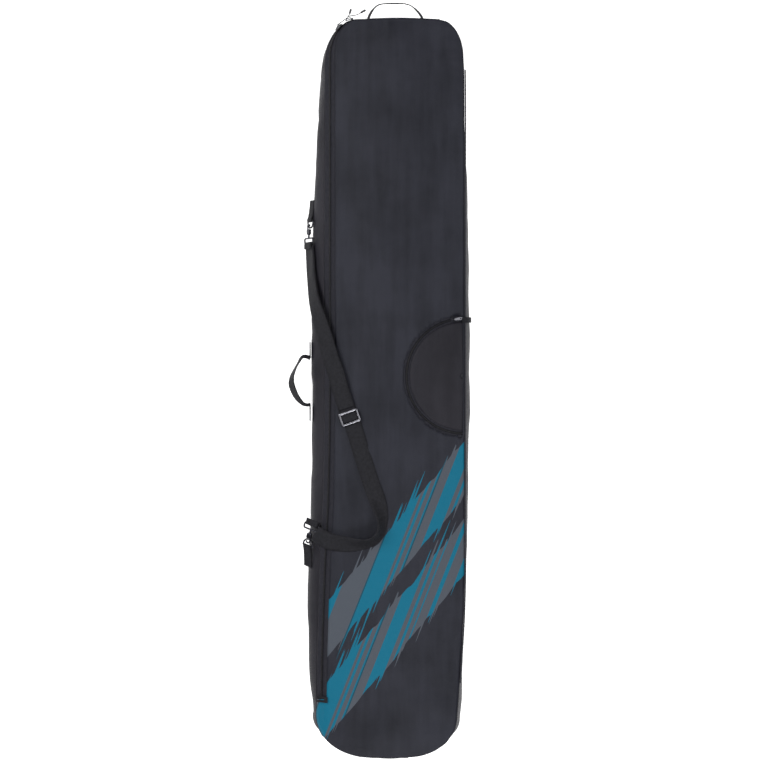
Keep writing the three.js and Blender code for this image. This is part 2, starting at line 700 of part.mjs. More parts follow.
function addPocket() {
  const { outer, inner, floor, flapEdge } = POCKET;
  add('pocket_flap', 'shell', common(panelLayer(0, 0, FABRIC), pocketPrism(inner, 0, flapEdge - GAP)));
  const tape = panelLayer(0, 0.8, 1.6);
  const coil = panelLayer(0, -1, 0.5);
  add('pocket_tape_panel_side', 'zip', common(tape, pocketPrism(outer - GAP, ZIP_LINE + TAPE_EDGE)));
  add('pocket_tape_flap_side', 'zip', common(tape, pocketPrism(ZIP_LINE - TAPE_EDGE, inner + GAP, flapEdge - GAP)));
  const place = new THREE.Matrix4().makeTranslation(...pocketSliderAt()).multiply(pocketTurn());
  const room = postRoom(place);
  add('pocket_coil_panel_side', 'zip', cut(common(coil, pocketPrism(ZIP_LINE + COIL, ZIP_LINE + GAP / 2)), room));
  add('pocket_coil_flap_side', 'zip', cut(common(coil, pocketPrism(ZIP_LINE - GAP / 2, ZIP_LINE - COIL)), room));
  add('pocket_slider', 'dark_metal', sliderShape(), place);
  const lying = new THREE.Matrix4().makeTranslation(-3, 0, 11);
  add('pocket_pull', 'metal', pocketPull(), place.clone().multiply(lying));
  const under = FABRIC + GAP;
  const body = common(panelLayer(0, under, under + 40), pocketPrism(outer + 4.5, 0, flapEdge - 2, floor - 1));
  add('pocket_pouch', 'lining', cut(body, pocketPrism(outer + 3.5, 0, flapEdge - 3, floor)));
}

function pocketSliderAt() {
  const angle = THREE.MathUtils.degToRad(POCKET_SLIDER_ANGLE);
  const x = POCKET.x + ZIP_LINE * Math.cos(angle);
  const y = POCKET.y + ZIP_LINE * Math.sin(angle);
  return [x, y, crown(x, y) - 0.8 - TAPE];
}

function pocketTurn() {
  const [x, y] = pocketSliderAt();
  const run = vector(y - POCKET.y, POCKET.x - x, 0).normalize();
  const slope = (crown(x + 4, y) - crown(x - 4, y)) / 8;
  const out = vector(-slope, 0, 1).normalize();
  const across = out.clone().cross(run).normalize();
  return new THREE.Matrix4().makeBasis(across.clone().cross(out), across, out);
}

function addStrap() {
  for (const [side, frame] of Object.entries(HARDWARE)) {
    add(`d_ring_${side}`, 'metal', dRing(), frame);
    add(`snap_hook_${side}`, 'metal', hook(), frame);
    add(`hook_gate_${side}`, 'metal', gate(), frame);
    add(`swivel_eye_${side}`, 'metal', swivelEye(19), frame);
    const tab = block([44, 20, 1.4], [-27, 0, 0]);
    add(`ring_tab_${side}`, 'webbing', tab, frame);
  }
  add('strap_main', 'webbing', webbing(STRAP, WEBBING, WEBBING_THICKNESS, 0, 60, true));
  const doubled = STRAP.slice(0, BUCKLE_AT + 1);
  add('strap_return', 'webbing', webbing(doubled, WEBBING, WEBBING_THICKNESS, WEBBING_THICKNESS + 2 * GAP, 30, true));
  add('strap_buckle', 'metal', buckle(), buckleFrame());
}

function addHandles() {
  add('side_handle', 'webbing', webbing(SIDE_HANDLE, HANDLE_WEBBING, 2, -1, 24));
  add('side_handle_patch_upper', 'webbing', patch([2, 34, HANDLE_WEBBING], [-158, 66, 50]));
  add('side_handle_patch_lower', 'webbing', patch([2, 34, HANDLE_WEBBING], [-158, -78, 50]));
  add('top_handle', 'webbing', webbing(TOP_HANDLE, HANDLE_WEBBING, 2, -1, 24));
  add('top_handle_patch_left', 'webbing', patch([34, 2, HANDLE_WEBBING], [-46, 808, 54]));
  add('top_handle_patch_right', 'webbing', patch([34, 2, HANDLE_WEBBING], [116, 808, 54]));
}

// A cord with a moulded grip on its end, from a slider's bridge.
function addPull(side, points) {
  const [grip, ...cord] = points.map((p) => vector(...p)).reverse();
  const last = cord[0];
  const forward = grip.clone().sub(last).normalize();
  add(`pull_cord_${side}`, 'cord', bar([...cord].reverse(), CORD / 2, 14));
  const shape = [[0, 0], [1.6, 0], [2.4, 2], [2.2, 8], [2.8, 15], [1.8, 17], [0, 17]];
  const turned = new THREE.LatheGeometry(shape.map(([r, h]) => new THREE.Vector2(r, h)), 10);
  const turn = new THREE.Quaternion().setFromUnitVectors(vector(0, 1, 0), forward);
  const place = new THREE.Matrix4().makeRotationFromQuaternion(turn);
  place.setPosition(last.clone().addScaledVector(forward, GAP));
  add(`pull_grip_${side}`, 'grip', solid(turned), place);
}

function pocketPull() {
  const shape = new THREE.Shape();
  shape.absarc(14, 0, 3.4, -Math.PI / 2, Math.PI / 2);
  shape.absarc(2, 0, 2.4, Math.PI / 2, 1.5 * Math.PI);
  const hole = new THREE.Path().absarc(14, 0, 1.6, 0, 2 * Math.PI, true);
  shape.holes.push(hole);
  return plate(shape, 1.2, 0, 5);
}

function addTrim() {
  const piping = steps(14).map((t) => {
    const y = mix(-680, 690, t);
    return vector(rim.right(y) + 2.6, y, SEAM_Z + 0.3);
  });
  add('right_piping', 'webbing', bar(piping, 1.6, 24, 6));
  const zipEnd = [-137, -130, -121].map((x) => ({ at: [x, -728, 0], faces: [-0.59, 0, 0.81] }));
  add('zip_end_tab', 'webbing', webbing(zipEnd, 13, 1.2, 0, 4, true));
  const over = [[183, 107.2, 0, 1], [189, 107.6, 0.2, 1], [195, 106.4, 0.6, 0.8], [200.5, 98, 1, 0.4], [204, 84, 1, 0.2],
    [205.3, 66, 1, 0.05]];
  const tab = over.map(([x, z, nx, nz]) => ({ at: [x, 131.5, z], faces: [nx, 0, nz] }));
  add('pocket_zip_tab', 'webbing', webbing(tab, 12, 0.7, 0, 10));
}

addShell();
addFront();
addMainZip();
addPocket();
addStrap();
addHandles();
addPull('lower', PULL_ROUTE.lower);
addPull('upper', PULL_ROUTE.upper);
addTrim();

export default bag;
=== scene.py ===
# %% [markdown]
# A padded bag for a snowboard, lying on its back. The frame that this script loads holds every piece at its
# real size, and the pieces that move. What is made here is the look: cloth, webbing, zips, cord and metal.
# Lengths in this file are millimetres, and MM turns them into metres when a mesh is made.

# %% Load the frame
import math

import bmesh
import bpy
from mathutils import Matrix, Vector, noise


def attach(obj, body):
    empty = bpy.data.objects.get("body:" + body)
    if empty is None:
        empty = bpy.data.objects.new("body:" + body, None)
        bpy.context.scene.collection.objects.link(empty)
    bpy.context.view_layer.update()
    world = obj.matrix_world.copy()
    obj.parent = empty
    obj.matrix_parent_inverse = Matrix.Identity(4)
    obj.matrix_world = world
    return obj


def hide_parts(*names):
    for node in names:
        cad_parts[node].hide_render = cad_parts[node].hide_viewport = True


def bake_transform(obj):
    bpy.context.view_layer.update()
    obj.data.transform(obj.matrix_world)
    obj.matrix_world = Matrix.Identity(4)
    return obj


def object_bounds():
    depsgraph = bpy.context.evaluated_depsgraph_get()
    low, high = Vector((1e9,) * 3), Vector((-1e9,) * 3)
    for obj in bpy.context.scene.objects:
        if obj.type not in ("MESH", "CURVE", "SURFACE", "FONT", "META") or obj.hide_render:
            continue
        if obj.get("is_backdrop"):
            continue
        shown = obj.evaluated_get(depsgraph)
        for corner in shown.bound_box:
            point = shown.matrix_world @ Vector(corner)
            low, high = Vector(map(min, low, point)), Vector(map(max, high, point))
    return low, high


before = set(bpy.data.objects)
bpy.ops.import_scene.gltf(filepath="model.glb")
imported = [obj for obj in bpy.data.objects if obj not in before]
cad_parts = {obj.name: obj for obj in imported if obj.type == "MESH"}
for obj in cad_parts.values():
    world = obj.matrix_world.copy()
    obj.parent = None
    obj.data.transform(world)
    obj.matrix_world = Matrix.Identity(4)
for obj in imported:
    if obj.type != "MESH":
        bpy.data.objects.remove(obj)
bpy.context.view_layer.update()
MM = 0.001


def box_numbers():
    return [[float(v) for v in corner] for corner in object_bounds()]


# %% [markdown]
# The camera looks straight down on the bag's front, from far enough away that its sides hardly show. A long
# lens does that. The picture is square, so the height of the camera follows from the width of floor it
# takes in.

# %% Camera
VIEW_WIDTH = 1714
VIEW_CENTRE_Y = -2.8
LENS = 95
SENSOR = 36
MID_HEIGHT = 60  # the height at which the picture is VIEW_WIDTH wide

camera_data = bpy.data.cameras.new("camera")
camera_data.lens = LENS
camera_data.sensor_width = SENSOR
camera_data.clip_end = 50
camera = bpy.data.objects.new("camera", camera_data)
camera.location = (0, VIEW_CENTRE_Y * MM, (MID_HEIGHT + VIEW_WIDTH * LENS / SENSOR) * MM)
bpy.context.collection.objects.link(camera)
bpy.context.scene.camera = camera
print("camera height:", round(camera.location.z, 3))

# %% [markdown]
# Lines along the bag, such as the edge of the front, bend gently. Each is given by a few places along the
# length and how far across the line is there. A cubic curve joins them, with its slope at each place taken
# from the two neighbours, so the line has no corners.

# %% A smooth line through a few places
def along(pairs):
    ys = [p[0] for p in pairs]
    xs = [p[1] for p in pairs]
    last = len(pairs) - 1

    def slope(n):
        a, b = max(n - 1, 0), min(n + 1, last)
        return (xs[b] - xs[a]) / (ys[b] - ys[a])

    def value(y):
        y = min(max(y, ys[0]), ys[-1])
        n = max(i for i in range(last) if ys[i] <= y)
        h = ys[n + 1] - ys[n]
        t = (y - ys[n]) / h
        rise = (2 * t**3 - 3 * t**2 + 1) * xs[n] + (3 * t**2 - 2 * t**3) * xs[n + 1]
        bend = (t**3 - 2 * t**2 + t) * slope(n) + (t**3 - t**2) * slope(n + 1)
        return rise + h * bend

    return value


def mix(a, b, t):
    return a + (b - a) * t


def clamp(value, low=0.0, high=1.0):
    return min(max(value, low), high)


# %% [markdown]
# Seen from above, the bag has four outlines: the edge of the front (rim), the side wall's upper edge below
# the zip (lip), the widest place of the side wall (belt), and the edge of the back (base). All four are
# made the same way, from a left line, a right line, two ends and an ellipse at each corner.

# %% The bag's outlines
BAND_WIDTH, BAND_DROP = 22, 16  # the zip's band: how wide, and how far it slopes down
SEAM_HEIGHT = 104  # of the front's edge above the floor
CROWN = 16  # how far the front bulges above its edge
BELT_HEIGHT = 50
TOP_BOW = 3
FABRIC = 1.5
GAP = 0.3  # between pieces that lie close together
ZIP_END = -718

rim_left = along([(-752, -121), (-718, -119.5), (-589, -117), (-409, -111), (-273, -104.5), (-48, -100.5),
                  (300, -100.5), (600, -100.5), (731, -100.5)])
rim_right = along([(-757, 171), (-675, 177), (-499, 187), (-300, 188), (0, 188), (400, 188), (674, 188),
                   (717, 186)])
belt_left = along([(-752, -153), (-612, -163), (-386, -162), (-206, -155), (155, -156), (426, -149),
                   (674, -135)])
belt_right = along([(-757, 183), (-612, 190), (-386, 197), (-206, 201), (20, 203.9), (426, 197), (674, 189),
                    (717, 187)])


def outline(left, right, top, bottom, tl, tr, br, bl):
    return {"left": left, "right": right, "top": top, "bottom": bottom,
            "corners": {"tl": tl, "tr": tr, "br": br, "bl": bl}}


RIM = outline(rim_left, rim_right, 801, -846, (50, 70), (52, 84), (108, 89), (118, 94))
LIP = outline(lambda y: rim_left(y) - BAND_WIDTH, lambda y: rim_right(y) + 0.5, 804, -849,
              (72, 95), (53, 86), (111, 92), (126, 97))
BELT = outline(belt_left, belt_right, 805, -852 + TOP_BOW, (88, 128), (55, 86), (115, 95), (130, 98))
BASE = outline(lambda y: rim_left(y) - BAND_WIDTH - 2, lambda y: rim_right(y) - 1, 799, -845,
               (74, 100), (52, 84), (110, 90), (125, 92))

# stretches of an outline, clockwise from the lower end of its left line, in steps
STRETCHES = [("left", 12), ("tl", 5), ("top", 4), ("tr", 5), ("right", 10), ("br", 5), ("bottom", 4),
             ("bl", 5)]
MARK = {}
CLOSE = 0
for stretch, count in STRETCHES:
    MARK[stretch] = CLOSE
    CLOSE += count
LENGTH = dict(STRETCHES)
CORNER = LENGTH["tl"]


def outline_frame(line):
    corners = line["corners"]
    y = {"tl": line["top"] - corners["tl"][1], "tr": line["top"] - corners["tr"][1],
         "br": line["bottom"] + corners["br"][1], "bl": line["bottom"] + corners["bl"][1]}
    x = {name: line["left"](y[name]) + corners[name][0] for name in ("tl", "bl")}
    x.update({name: line["right"](y[name]) - corners[name][0] for name in ("tr", "br")})
    return x, y


def outline_point(line, place):
    x, y = outline_frame(line)
    s = place % CLOSE
    for name, turn in (("tl", math.pi), ("tr", math.pi / 2), ("br", 0.0), ("bl", -math.pi / 2)):
        if MARK[name] <= s < MARK[name] + CORNER:
            angle = turn - (s - MARK[name]) / CORNER * math.pi / 2
            rx, ry = line["corners"][name]
            return Vector((x[name] + rx * math.cos(angle), y[name] + ry * math.sin(angle), 0))
    if s < MARK["tl"]:
        here = mix(y["bl"], y["tl"], s / MARK["tl"])
        return Vector((line["left"](here), here, 0))
    if s < MARK["tr"]:
        t = (s - MARK["top"]) / LENGTH["top"]
        return Vector((mix(x["tl"], x["tr"], t), line["top"] + TOP_BOW * math.sin(math.pi * t), 0))
    if s < MARK["br"]:
        here = mix(y["tr"], y["br"], (s - MARK["right"]) / LENGTH["right"])
        return Vector((line["right"](here), here, 0))
    t = (s - MARK["bottom"]) / LENGTH["bottom"]
    return Vector((mix(x["br"], x["bl"], t), line["bottom"] - TOP_BOW * math.sin(math.pi * t), 0))


def outward(line, place):
    run = outline_point(line, place + 0.05) - outline_point(line, place - 0.05)
    return Vector((-run.y, run.x, 0)).normalized()


print("outline steps:", CLOSE)

# %% [markdown]
# Most of the bag is sheet: cloth, tape, webbing. A sheet can be made from a grid, but a grid has to be bent
# into place afterwards. Here a row of edges is laid down and extruded row by row, and each new row is put
# where the cloth goes, as a knitter adds rows. Each vertex remembers its column, because an extrusion hands
# its vertices back in no set order. Every sheet gets its own UV map in metres, so a weave stays with the
# cloth when it bends.

# %% Cloth made row by row
def knit(name, rows, closed=False, plan_uv=False, flip=False):
    bm = bmesh.new()
    column = bm.verts.layers.int.new("column")
    row_of = bm.verts.layers.int.new("row")
    verts = [bm.verts.new(p * MM) for p in rows[0]]
    for n, v in enumerate(verts):
        v[column] = n
    ends = zip(verts, verts[1:] + verts[:1]) if closed else zip(verts, verts[1:])
    edges = [bm.edges.new(pair) for pair in ends]
    for n, row in enumerate(rows[1:]):
        made = bmesh.ops.extrude_edge_only(bm, edges=edges)["geom"]
        edges = [g for g in made if isinstance(g, bmesh.types.BMEdge)]
        edges = [e for e in edges if all(v in made for v in e.verts)]
        for v in made:
            if isinstance(v, bmesh.types.BMVert):
                v.co = row[v[column]] * MM
                v[row_of] = n + 1
    add_uv(bm, rows, closed, plan_uv)
    return finish_mesh(name, bm, recalc=False, flip=flip)


def add_uv(bm, rows, closed, plan_uv):
    column = bm.verts.layers.int["column"]
    row_of = bm.verts.layers.int["row"]
    uv = bm.loops.layers.uv.new("UVMap")
    middle = len(rows[0]) // 2
    lengths = [0.0]
    for a, b in zip(rows, rows[1:]):
        lengths.append(lengths[-1] + (b[middle] - a[middle]).length * MM)
    widths = [0.0]
    for a, b in zip(rows[0], rows[0][1:] + rows[0][:1]):
        widths.append(widths[-1] + (b - a).length * MM)
    for face in bm.faces:
        wraps = closed and max(loop.vert[column] for loop in face.loops) - min(
            loop.vert[column] for loop in face.loops) > 1
        for loop in face.loops:
            v = loop.vert
            if plan_uv:
                loop[uv].uv = (v.co.x, v.co.y)
                continue
            c = v[column]
            if wraps and c == 0:
                c = len(rows[0])
            loop[uv].uv = (widths[c], lengths[v[row_of]])


def finish_mesh(name, bm, recalc=True, flip=False, smooth=True):
    if recalc:
        bmesh.ops.remove_doubles(bm, verts=bm.verts, dist=1e-6)
        bmesh.ops.recalc_face_normals(bm, faces=bm.faces)
    if flip:
        bmesh.ops.reverse_faces(bm, faces=bm.faces)
    for face in bm.faces:
        face.smooth = smooth
    mesh = bpy.data.meshes.new(name)
    bm.to_mesh(mesh)
    bm.free()
    piece = bpy.data.objects.new(name, mesh)
    bpy.context.collection.objects.link(piece)
    return piece


def steps(count):
    return [n / count for n in range(count + 1)]


def thicken(piece, thickness, offset=-1.0):
    solid = piece.modifiers.new("thickness", "SOLIDIFY")
    solid.thickness = thickness * MM
    solid.offset = offset
    return piece


def reshape(piece, *changes):
    bm = bmesh.new()
    bm.from_mesh(piece.data)
    for change in changes:
        change(bm)
    bm.to_mesh(piece.data)
    bm.free()
    return piece


def close_holes(bm):
    bmesh.ops.holes_fill(bm, edges=[e for e in bm.edges if e.is_boundary], sides=0)
    bmesh.ops.recalc_face_normals(bm, faces=bm.faces)


def face_up(bm):
    if sum(f.normal.z for f in bm.faces) < 0:
        bmesh.ops.reverse_faces(bm, faces=bm.faces)


print("cloth helpers ready")

# %% [markdown]
# The front is padded, so it bulges along its middle and flattens towards both ends. Below the zip's end
# there is nothing to open, and the same cloth wraps down over the left side and round the bottom end.

# %% Heights of the front
MIDDLE_Y, HALF_LENGTH = -22, 830
FLATTER_END = 0.6  # share of the bulge that is gone at an end
ROUND_OVER = -780  # where the closed foot begins to round over
FOOT_ROUND = 69
SEAM_HOLD = 60  # how far from the right seam the foot still keeps the seam's height


def crown(x, y):
    across = clamp((x - rim_left(y)) / (rim_right(y) - rim_left(y)))
    ends = 1 - FLATTER_END * min(1.0, abs(y - MIDDLE_Y) / HALF_LENGTH) ** 6
    return SEAM_HEIGHT + CROWN * math.sin(math.pi * across) * ends


def foot_height(x, y):
    side = clamp((rim_left(y) - x) / BAND_WIDTH)
    end = clamp((ROUND_OVER - y) / FOOT_ROUND)
    at_seam = clamp((rim_right(y) - x) / SEAM_HOLD)
    over_end = BAND_DROP * end * end * (0.4 + 0.6 * at_seam) * (1 - side)
    return crown(x, y) - BAND_DROP * side - over_end


def front_height(x, y):
    return foot_height(x, y) if y < ZIP_END else crown(x, y)


def edge_x(line, side, y):
    _, start = outline_frame(line)
    sign = 1 if side == "left" else -1
    for name in (("tl", "bl") if side == "left" else ("tr", "br")):
        past = y - start[name] if name[0] == "t" else start[name] - y
        if past > 0:
            rx, ry = line["corners"][name]
            return line[side](start[name]) + sign * rx * (1 - math.sqrt(max(0.0, 1 - (past / ry) ** 2)))
    return line[side](y)


print("front height in the middle:", round(crown(44, 0), 1))

# %% [markdown]
# No two stretches of a used bag are alike: the cloth ripples a little between its seams, and draws into
# small puckers where a seam takes up its length. Both are noise. The ripples are broad, and the puckers are
# short waves along the seam that die away a hand's width from it.

# %% Ripples and puckers
def ripple(x, y, size, height):
    return height * noise.noise(Vector((x / size, y / size, 3.7)))


def pucker(distance, place, reach=26, wave=13, height=1.1):
    fade = math.exp(-max(distance, 0) / reach) * (1 - math.exp(-max(distance, 0) / 4))
    return height * fade * noise.noise(Vector((place / wave, distance / 60, 9.1)))


# %% [markdown]
# The front cloth is one sheet with a D-shaped hole for the pocket. Its rows run across the bag and follow
# the round corners. The four columns on the left are the part that wraps over the side, and above the zip's
# end they are taken away. The hole's edge is made by moving the vertices nearest to the D onto it, then
# taking out what is inside.

# %% Front cloth
POCKET_X, POCKET_Y = 187, 6
POCKET_OUTER, POCKET_INNER, FLAP_EDGE = 135, 121, 185
SIDE_COLUMNS, FRONT_COLUMNS = 4, 60
ROW_STEP = 5.5
CLOSER_AT_ENDS = 0.55  # how strongly the rows crowd towards the two ends
BOW_FROM = 700  # the rows begin to bow towards the top end here
RING_REACH, EDGE_REACH = 2.9, 2.6  # a vertex this near the D is moved onto it


def front_rows(inset=0.0, drop=0.0, columns=FRONT_COLUMNS, row_step=ROW_STEP, worn=True):
    low, high = LIP["bottom"] + inset, RIM["top"] - inset
    count = int((high - low) / row_step)
    ys = []
    for t in steps(count):
        ends = 0.5 - 0.5 * math.cos(math.pi * t)
        ys.append(mix(low, high, mix(t, ends, CLOSER_AT_ENDS)))
    ys += [ZIP_END - 0.6, ZIP_END + 0.6]
    rows = []
    for y in sorted(ys):
        on_rim = max(y, RIM["bottom"])
        left = edge_x(RIM, "left", on_rim) + inset
        side = edge_x(LIP, "left", y) + inset
        right = edge_x(RIM, "right", on_rim) - inset
        left, side = min(left, right - 1), min(side, left - 0.5)
        xs = [mix(side, left, n / SIDE_COLUMNS) for n in range(SIDE_COLUMNS)]
        xs += [mix(left, right, t) for t in steps(columns)]
        bowed = TOP_BOW * max(0.0, (y - BOW_FROM) / (RIM["top"] - BOW_FROM)) ** 2
        row = []
        for x in xs:
            bow = bowed * math.sin(math.pi * clamp((x - left) / (right - left)))
            z = front_height(x, y) - drop
            if worn:
                z += front_wear(x, y, left, right)
            row.append(Vector((x, y + bow, z)))
        rows.append(row)
    return rows


def front_wear(x, y, left, right):
    inside = min(x - left, right - x, RIM["top"] - y)
    soft = clamp(inside / 40)
    lift = ripple(x, y * 0.55, size=90, height=2.2) * soft + ripple(x, y, size=34, height=0.7) * soft
    seam = min(x - left, right - x)
    lift += pucker(seam, y) + pucker(RIM["top"] - y, x, height=1.6)
    foot = clamp((-640 - y) / 120)
    lift += foot * soft * ripple(x * 0.8, y, size=46, height=3.0)
    right_of, above = x - POCKET_X, y - POCKET_Y
    ring = math.hypot(right_of, above) - POCKET_OUTER
    if 0 < ring < 60:
        lift = lift * clamp(ring / 30 + 0.2) + pucker(ring, math.atan2(above, right_of) * 130)
    return lift * 1.1


def open_pocket(bm, outer=POCKET_OUTER, edge=FLAP_EDGE):
    for v in bm.verts:
        x, y = v.co.x / MM, v.co.y / MM
        away = Vector((x - POCKET_X, y - POCKET_Y))
        if abs(away.length - outer) < RING_REACH and x < edge:
            onto = away.normalized() * outer
            v.co.x, v.co.y = (POCKET_X + onto.x) * MM, (POCKET_Y + onto.y) * MM
        elif abs(x - edge) < EDGE_REACH and away.length < outer:
            v.co.x = edge * MM
    inside = []
    for face in bm.faces:
        c = face.calc_center_median() / MM
        if math.hypot(c.x - POCKET_X, c.y - POCKET_Y) < outer and c.x < edge:
            inside.append(face)
    bmesh.ops.delete(bm, geom=inside, context="FACES")


def take_off_side(bm):
    column = bm.verts.layers.int["column"]
    over_zip = [f for f in bm.faces if min(v[column] for v in f.verts) < SIDE_COLUMNS
                and f.calc_center_median().y > ZIP_END * MM]
    bmesh.ops.delete(bm, geom=over_zip, context="FACES")


def drop_loose(bm):
    bmesh.ops.delete(bm, geom=[v for v in bm.verts if not v.link_faces], context="VERTS")


def front_sheet(name, pocket_outer=POCKET_OUTER, pocket_edge=FLAP_EDGE, **how):
    return reshape(knit(name, front_rows(**how), plan_uv=True), take_off_side,
                   lambda bm: open_pocket(bm, pocket_outer, pocket_edge), drop_loose, face_up)


def with_front(piece):
    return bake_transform(piece)


front_cloth = with_front(front_sheet("front_cloth"))
thicken(front_cloth, FABRIC)
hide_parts("front_panel", "front_foot")
print("front cloth:", len(front_cloth.data.polygons), "faces")

# %% [markdown]
# Under the cloth lies the front's foam, quilted to a lining. It is the same sheet again, smaller all round
# and a little lower, with a wider hole so that the pocket can hang through.

# %% Front padding and lining
INNER_OUTER, INNER_EDGE = POCKET_OUTER + 6, 182
front_foam = with_front(front_sheet("front_foam", INNER_OUTER, INNER_EDGE, inset=9, drop=FABRIC + 1.2,
                                    columns=40, row_step=9, worn=False))
thicken(front_foam, 3.4)
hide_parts("front_padding")

front_inner = with_front(front_sheet("front_inner_cloth", INNER_OUTER, INNER_EDGE, inset=8, drop=FABRIC + 5.2,
                                     columns=40, row_step=9, worn=False))
thicken(front_inner, 0.8)
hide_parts("front_lining")
print("front foam and lining:", len(front_foam.data.polygons) + len(front_inner.data.polygons), "faces")

# %% [markdown]
# The side wall is one long strip of padded cloth sewn to the back below and to the zip and the front above.
# At each place round the bag its section is a smooth curve through three points: base, belt and lip. Rings
# of the same height are laid round the bag and extruded upwards, so the wall is a loft. It creases most at
# the corners, where the strip has to shorten.

# %% Side wall
WALL = 3
WALL_COLUMNS = 5  # for each step of an outline
WALL_RINGS = 16
LONG_CREASE, SHORT_CREASE, CORNER_CREASE = 3.0, 1.4, 3.0
SUNK = 1.4  # how far the wall lies inside its outline on the whole
STANDS_OUT = 0.6  # no crease stands out further than this
SKIN_TOP = FABRIC + GAP


def lip_height(place):
    high = SEAM_HEIGHT - FABRIC - 2 * GAP
    low = high - BAND_DROP
    s = place % CLOSE
    if s < MARK["tr"] or s > MARK["bottom"]:
        return low
    if s < MARK["right"]:
        return mix(low, high, (s - MARK["tr"]) / CORNER)
    return high if s < MARK["br"] else mix(high, low, (s - MARK["br"]) / CORNER)


def wall_point(place, height, depth=0.0):
    low, middle, high = (outline_point(line, place) for line in (BASE, BELT, LIP))

    def bend(a, m, b):
        return a * (1 - height) ** 2 + (4 * m - a - b) * height * (1 - height) + b * height**2

    z = bend(SKIN_TOP, BELT_HEIGHT, lip_height(place))
    point = Vector((bend(low.x, middle.x, high.x), bend(low.y, middle.y, high.y), z))
    return point - outward(BELT, place) * depth


def wall_crease(place, height, girth):
    edge = math.sin(math.pi * clamp(height)) ** 0.6
    corner = 0.0
    for name in ("tl", "tr", "br", "bl"):
        middle = MARK[name] + CORNER / 2
        corner = max(corner, math.exp(-(((place - middle) / 3.2) ** 2)))
    long_wave = noise.noise(Vector((girth / 75, height * 2.2, 1.3)))
    short_wave = noise.noise(Vector((girth / 22, height * 1.1, 5.2)))
    return edge * (LONG_CREASE * long_wave - SUNK + (SHORT_CREASE + CORNER_CREASE * corner) * short_wave)


def side_wall_rows():
    places = [n / WALL_COLUMNS for n in range(CLOSE * WALL_COLUMNS)]
    girth = [0.0]
    for a, b in zip(places, places[1:]):
        girth.append(girth[-1] + (outline_point(BELT, b) - outline_point(BELT, a)).length)
    rows = []
    for height in steps(WALL_RINGS):
        creases = [wall_crease(place, height, far) for place, far in zip(places, girth)]
        rows.append([wall_point(place, height, -min(crease, STANDS_OUT))
                     for place, crease in zip(places, creases)])
    return rows


side_wall = knit("side_wall", side_wall_rows(), closed=True)
thicken(side_wall, 2.2)
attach(side_wall, "bag")
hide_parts("gusset_left", "gusset_top", "gusset_right", "gusset_bottom")
print("side wall:", len(side_wall.data.polygons), "faces")

# %% [markdown]
# The back is flat on the floor: a tough cloth, a thick pad that protects the board, and a lining. Each is a
# ring of the base outline, drawn inwards twice and then closed with one face.

# %% Back cloth, pad and lining
def split_wide_faces(bm):
    bmesh.ops.triangulate(bm, faces=[f for f in bm.faces if len(f.verts) > 4])


def back_sheet(name, inset, thickness, bottom, rounding=0.0):
    places = [n / 3 for n in range(CLOSE * 3)]

    def ring(extra, height):
        up = Vector((0, 0, height))
        return [outline_point(BASE, s) - outward(BASE, s) * (inset + extra) + up for s in places]

    rows = [ring(0, bottom), ring(0, bottom + thickness - rounding), ring(rounding, bottom + thickness),
            ring(40, bottom + thickness)]
    return reshape(knit(name, rows, closed=True), close_holes, split_wide_faces)


back_cloth = back_sheet("back_cloth", 0, FABRIC, 0, rounding=0.5)
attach(back_cloth, "bag")
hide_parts("back_panel")

back_pad = back_sheet("back_pad", 7, 5.5, SKIN_TOP, rounding=2.5)
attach(back_pad, "bag")
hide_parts("back_padding")

back_inner = back_sheet("back_inner_cloth", 8, 1, SKIN_TOP + 6.3, rounding=0.4)
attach(back_inner, "bag")
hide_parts("back_lining")
print("back pieces:", len(back_cloth.data.polygons) + len(back_pad.data.polygons), "faces")

# %% [markdown]
# The zip is a band 22 mm wide that slopes down beside the front's left edge, turns the corner and runs
# along the top end. Two woven tapes lie on it, and each carries a coil: a nylon spring sewn to the tape's
# edge, whose turns are the teeth. A coil is made as a round strip that swells at each turn. The outer edge
# of each tape is sewn in behind the cloth: under the front, or inside the side wall.

# %% Main zip
TAPE = 0.8
COIL = 1.9
COIL_HEIGHT = 1.5
TAPE_EDGE = 1.4
TURN = 2.0  # length of zip that one turn of the coil takes
WAIST = 0.72  # how thin the coil's strip is between two turns
ZIP_START = MARK["tl"] * ((ZIP_END + 752) / (731 + 752)) + 0.01
ZIP_STOP = MARK["tr"] - 0.01


def band(place):
    low, high = outline_point(LIP, place), outline_point(RIM, place)
    a = Vector((low.x, low.y, SEAM_HEIGHT - BAND_DROP + GAP))
    b = Vector((high.x, high.y, SEAM_HEIGHT - FABRIC - GAP))
    run = outline_point(LIP, place + 0.02) + outline_point(RIM, place + 0.02) - low - high
    run.normalize()
    across = b - a
    across -= run * across.dot(run)
    half = across.length / 2 - GAP
    across.normalize()
    return {"middle": (a + b) / 2, "run": run, "across": across, "normal": across.cross(run), "half": half}


def band_girth():
    places = [mix(ZIP_START, ZIP_STOP, t) for t in steps(400)]
    girth = [0.0]
    for a, b in zip(places, places[1:]):
        girth.append(girth[-1] + (band(b)["middle"] - band(a)["middle"]).length)
    return places, girth


zip_places, zip_girth = band_girth()


def zip_place(distance):
    low, high = 0, len(zip_girth) - 1
    while high - low > 1:
        middle = (low + high) // 2
        low, high = (middle, high) if zip_girth[middle] <= distance else (low, middle)
    t = (distance - zip_girth[low]) / (zip_girth[high] - zip_girth[low])
    return mix(zip_places[low], zip_places[high], clamp(t))


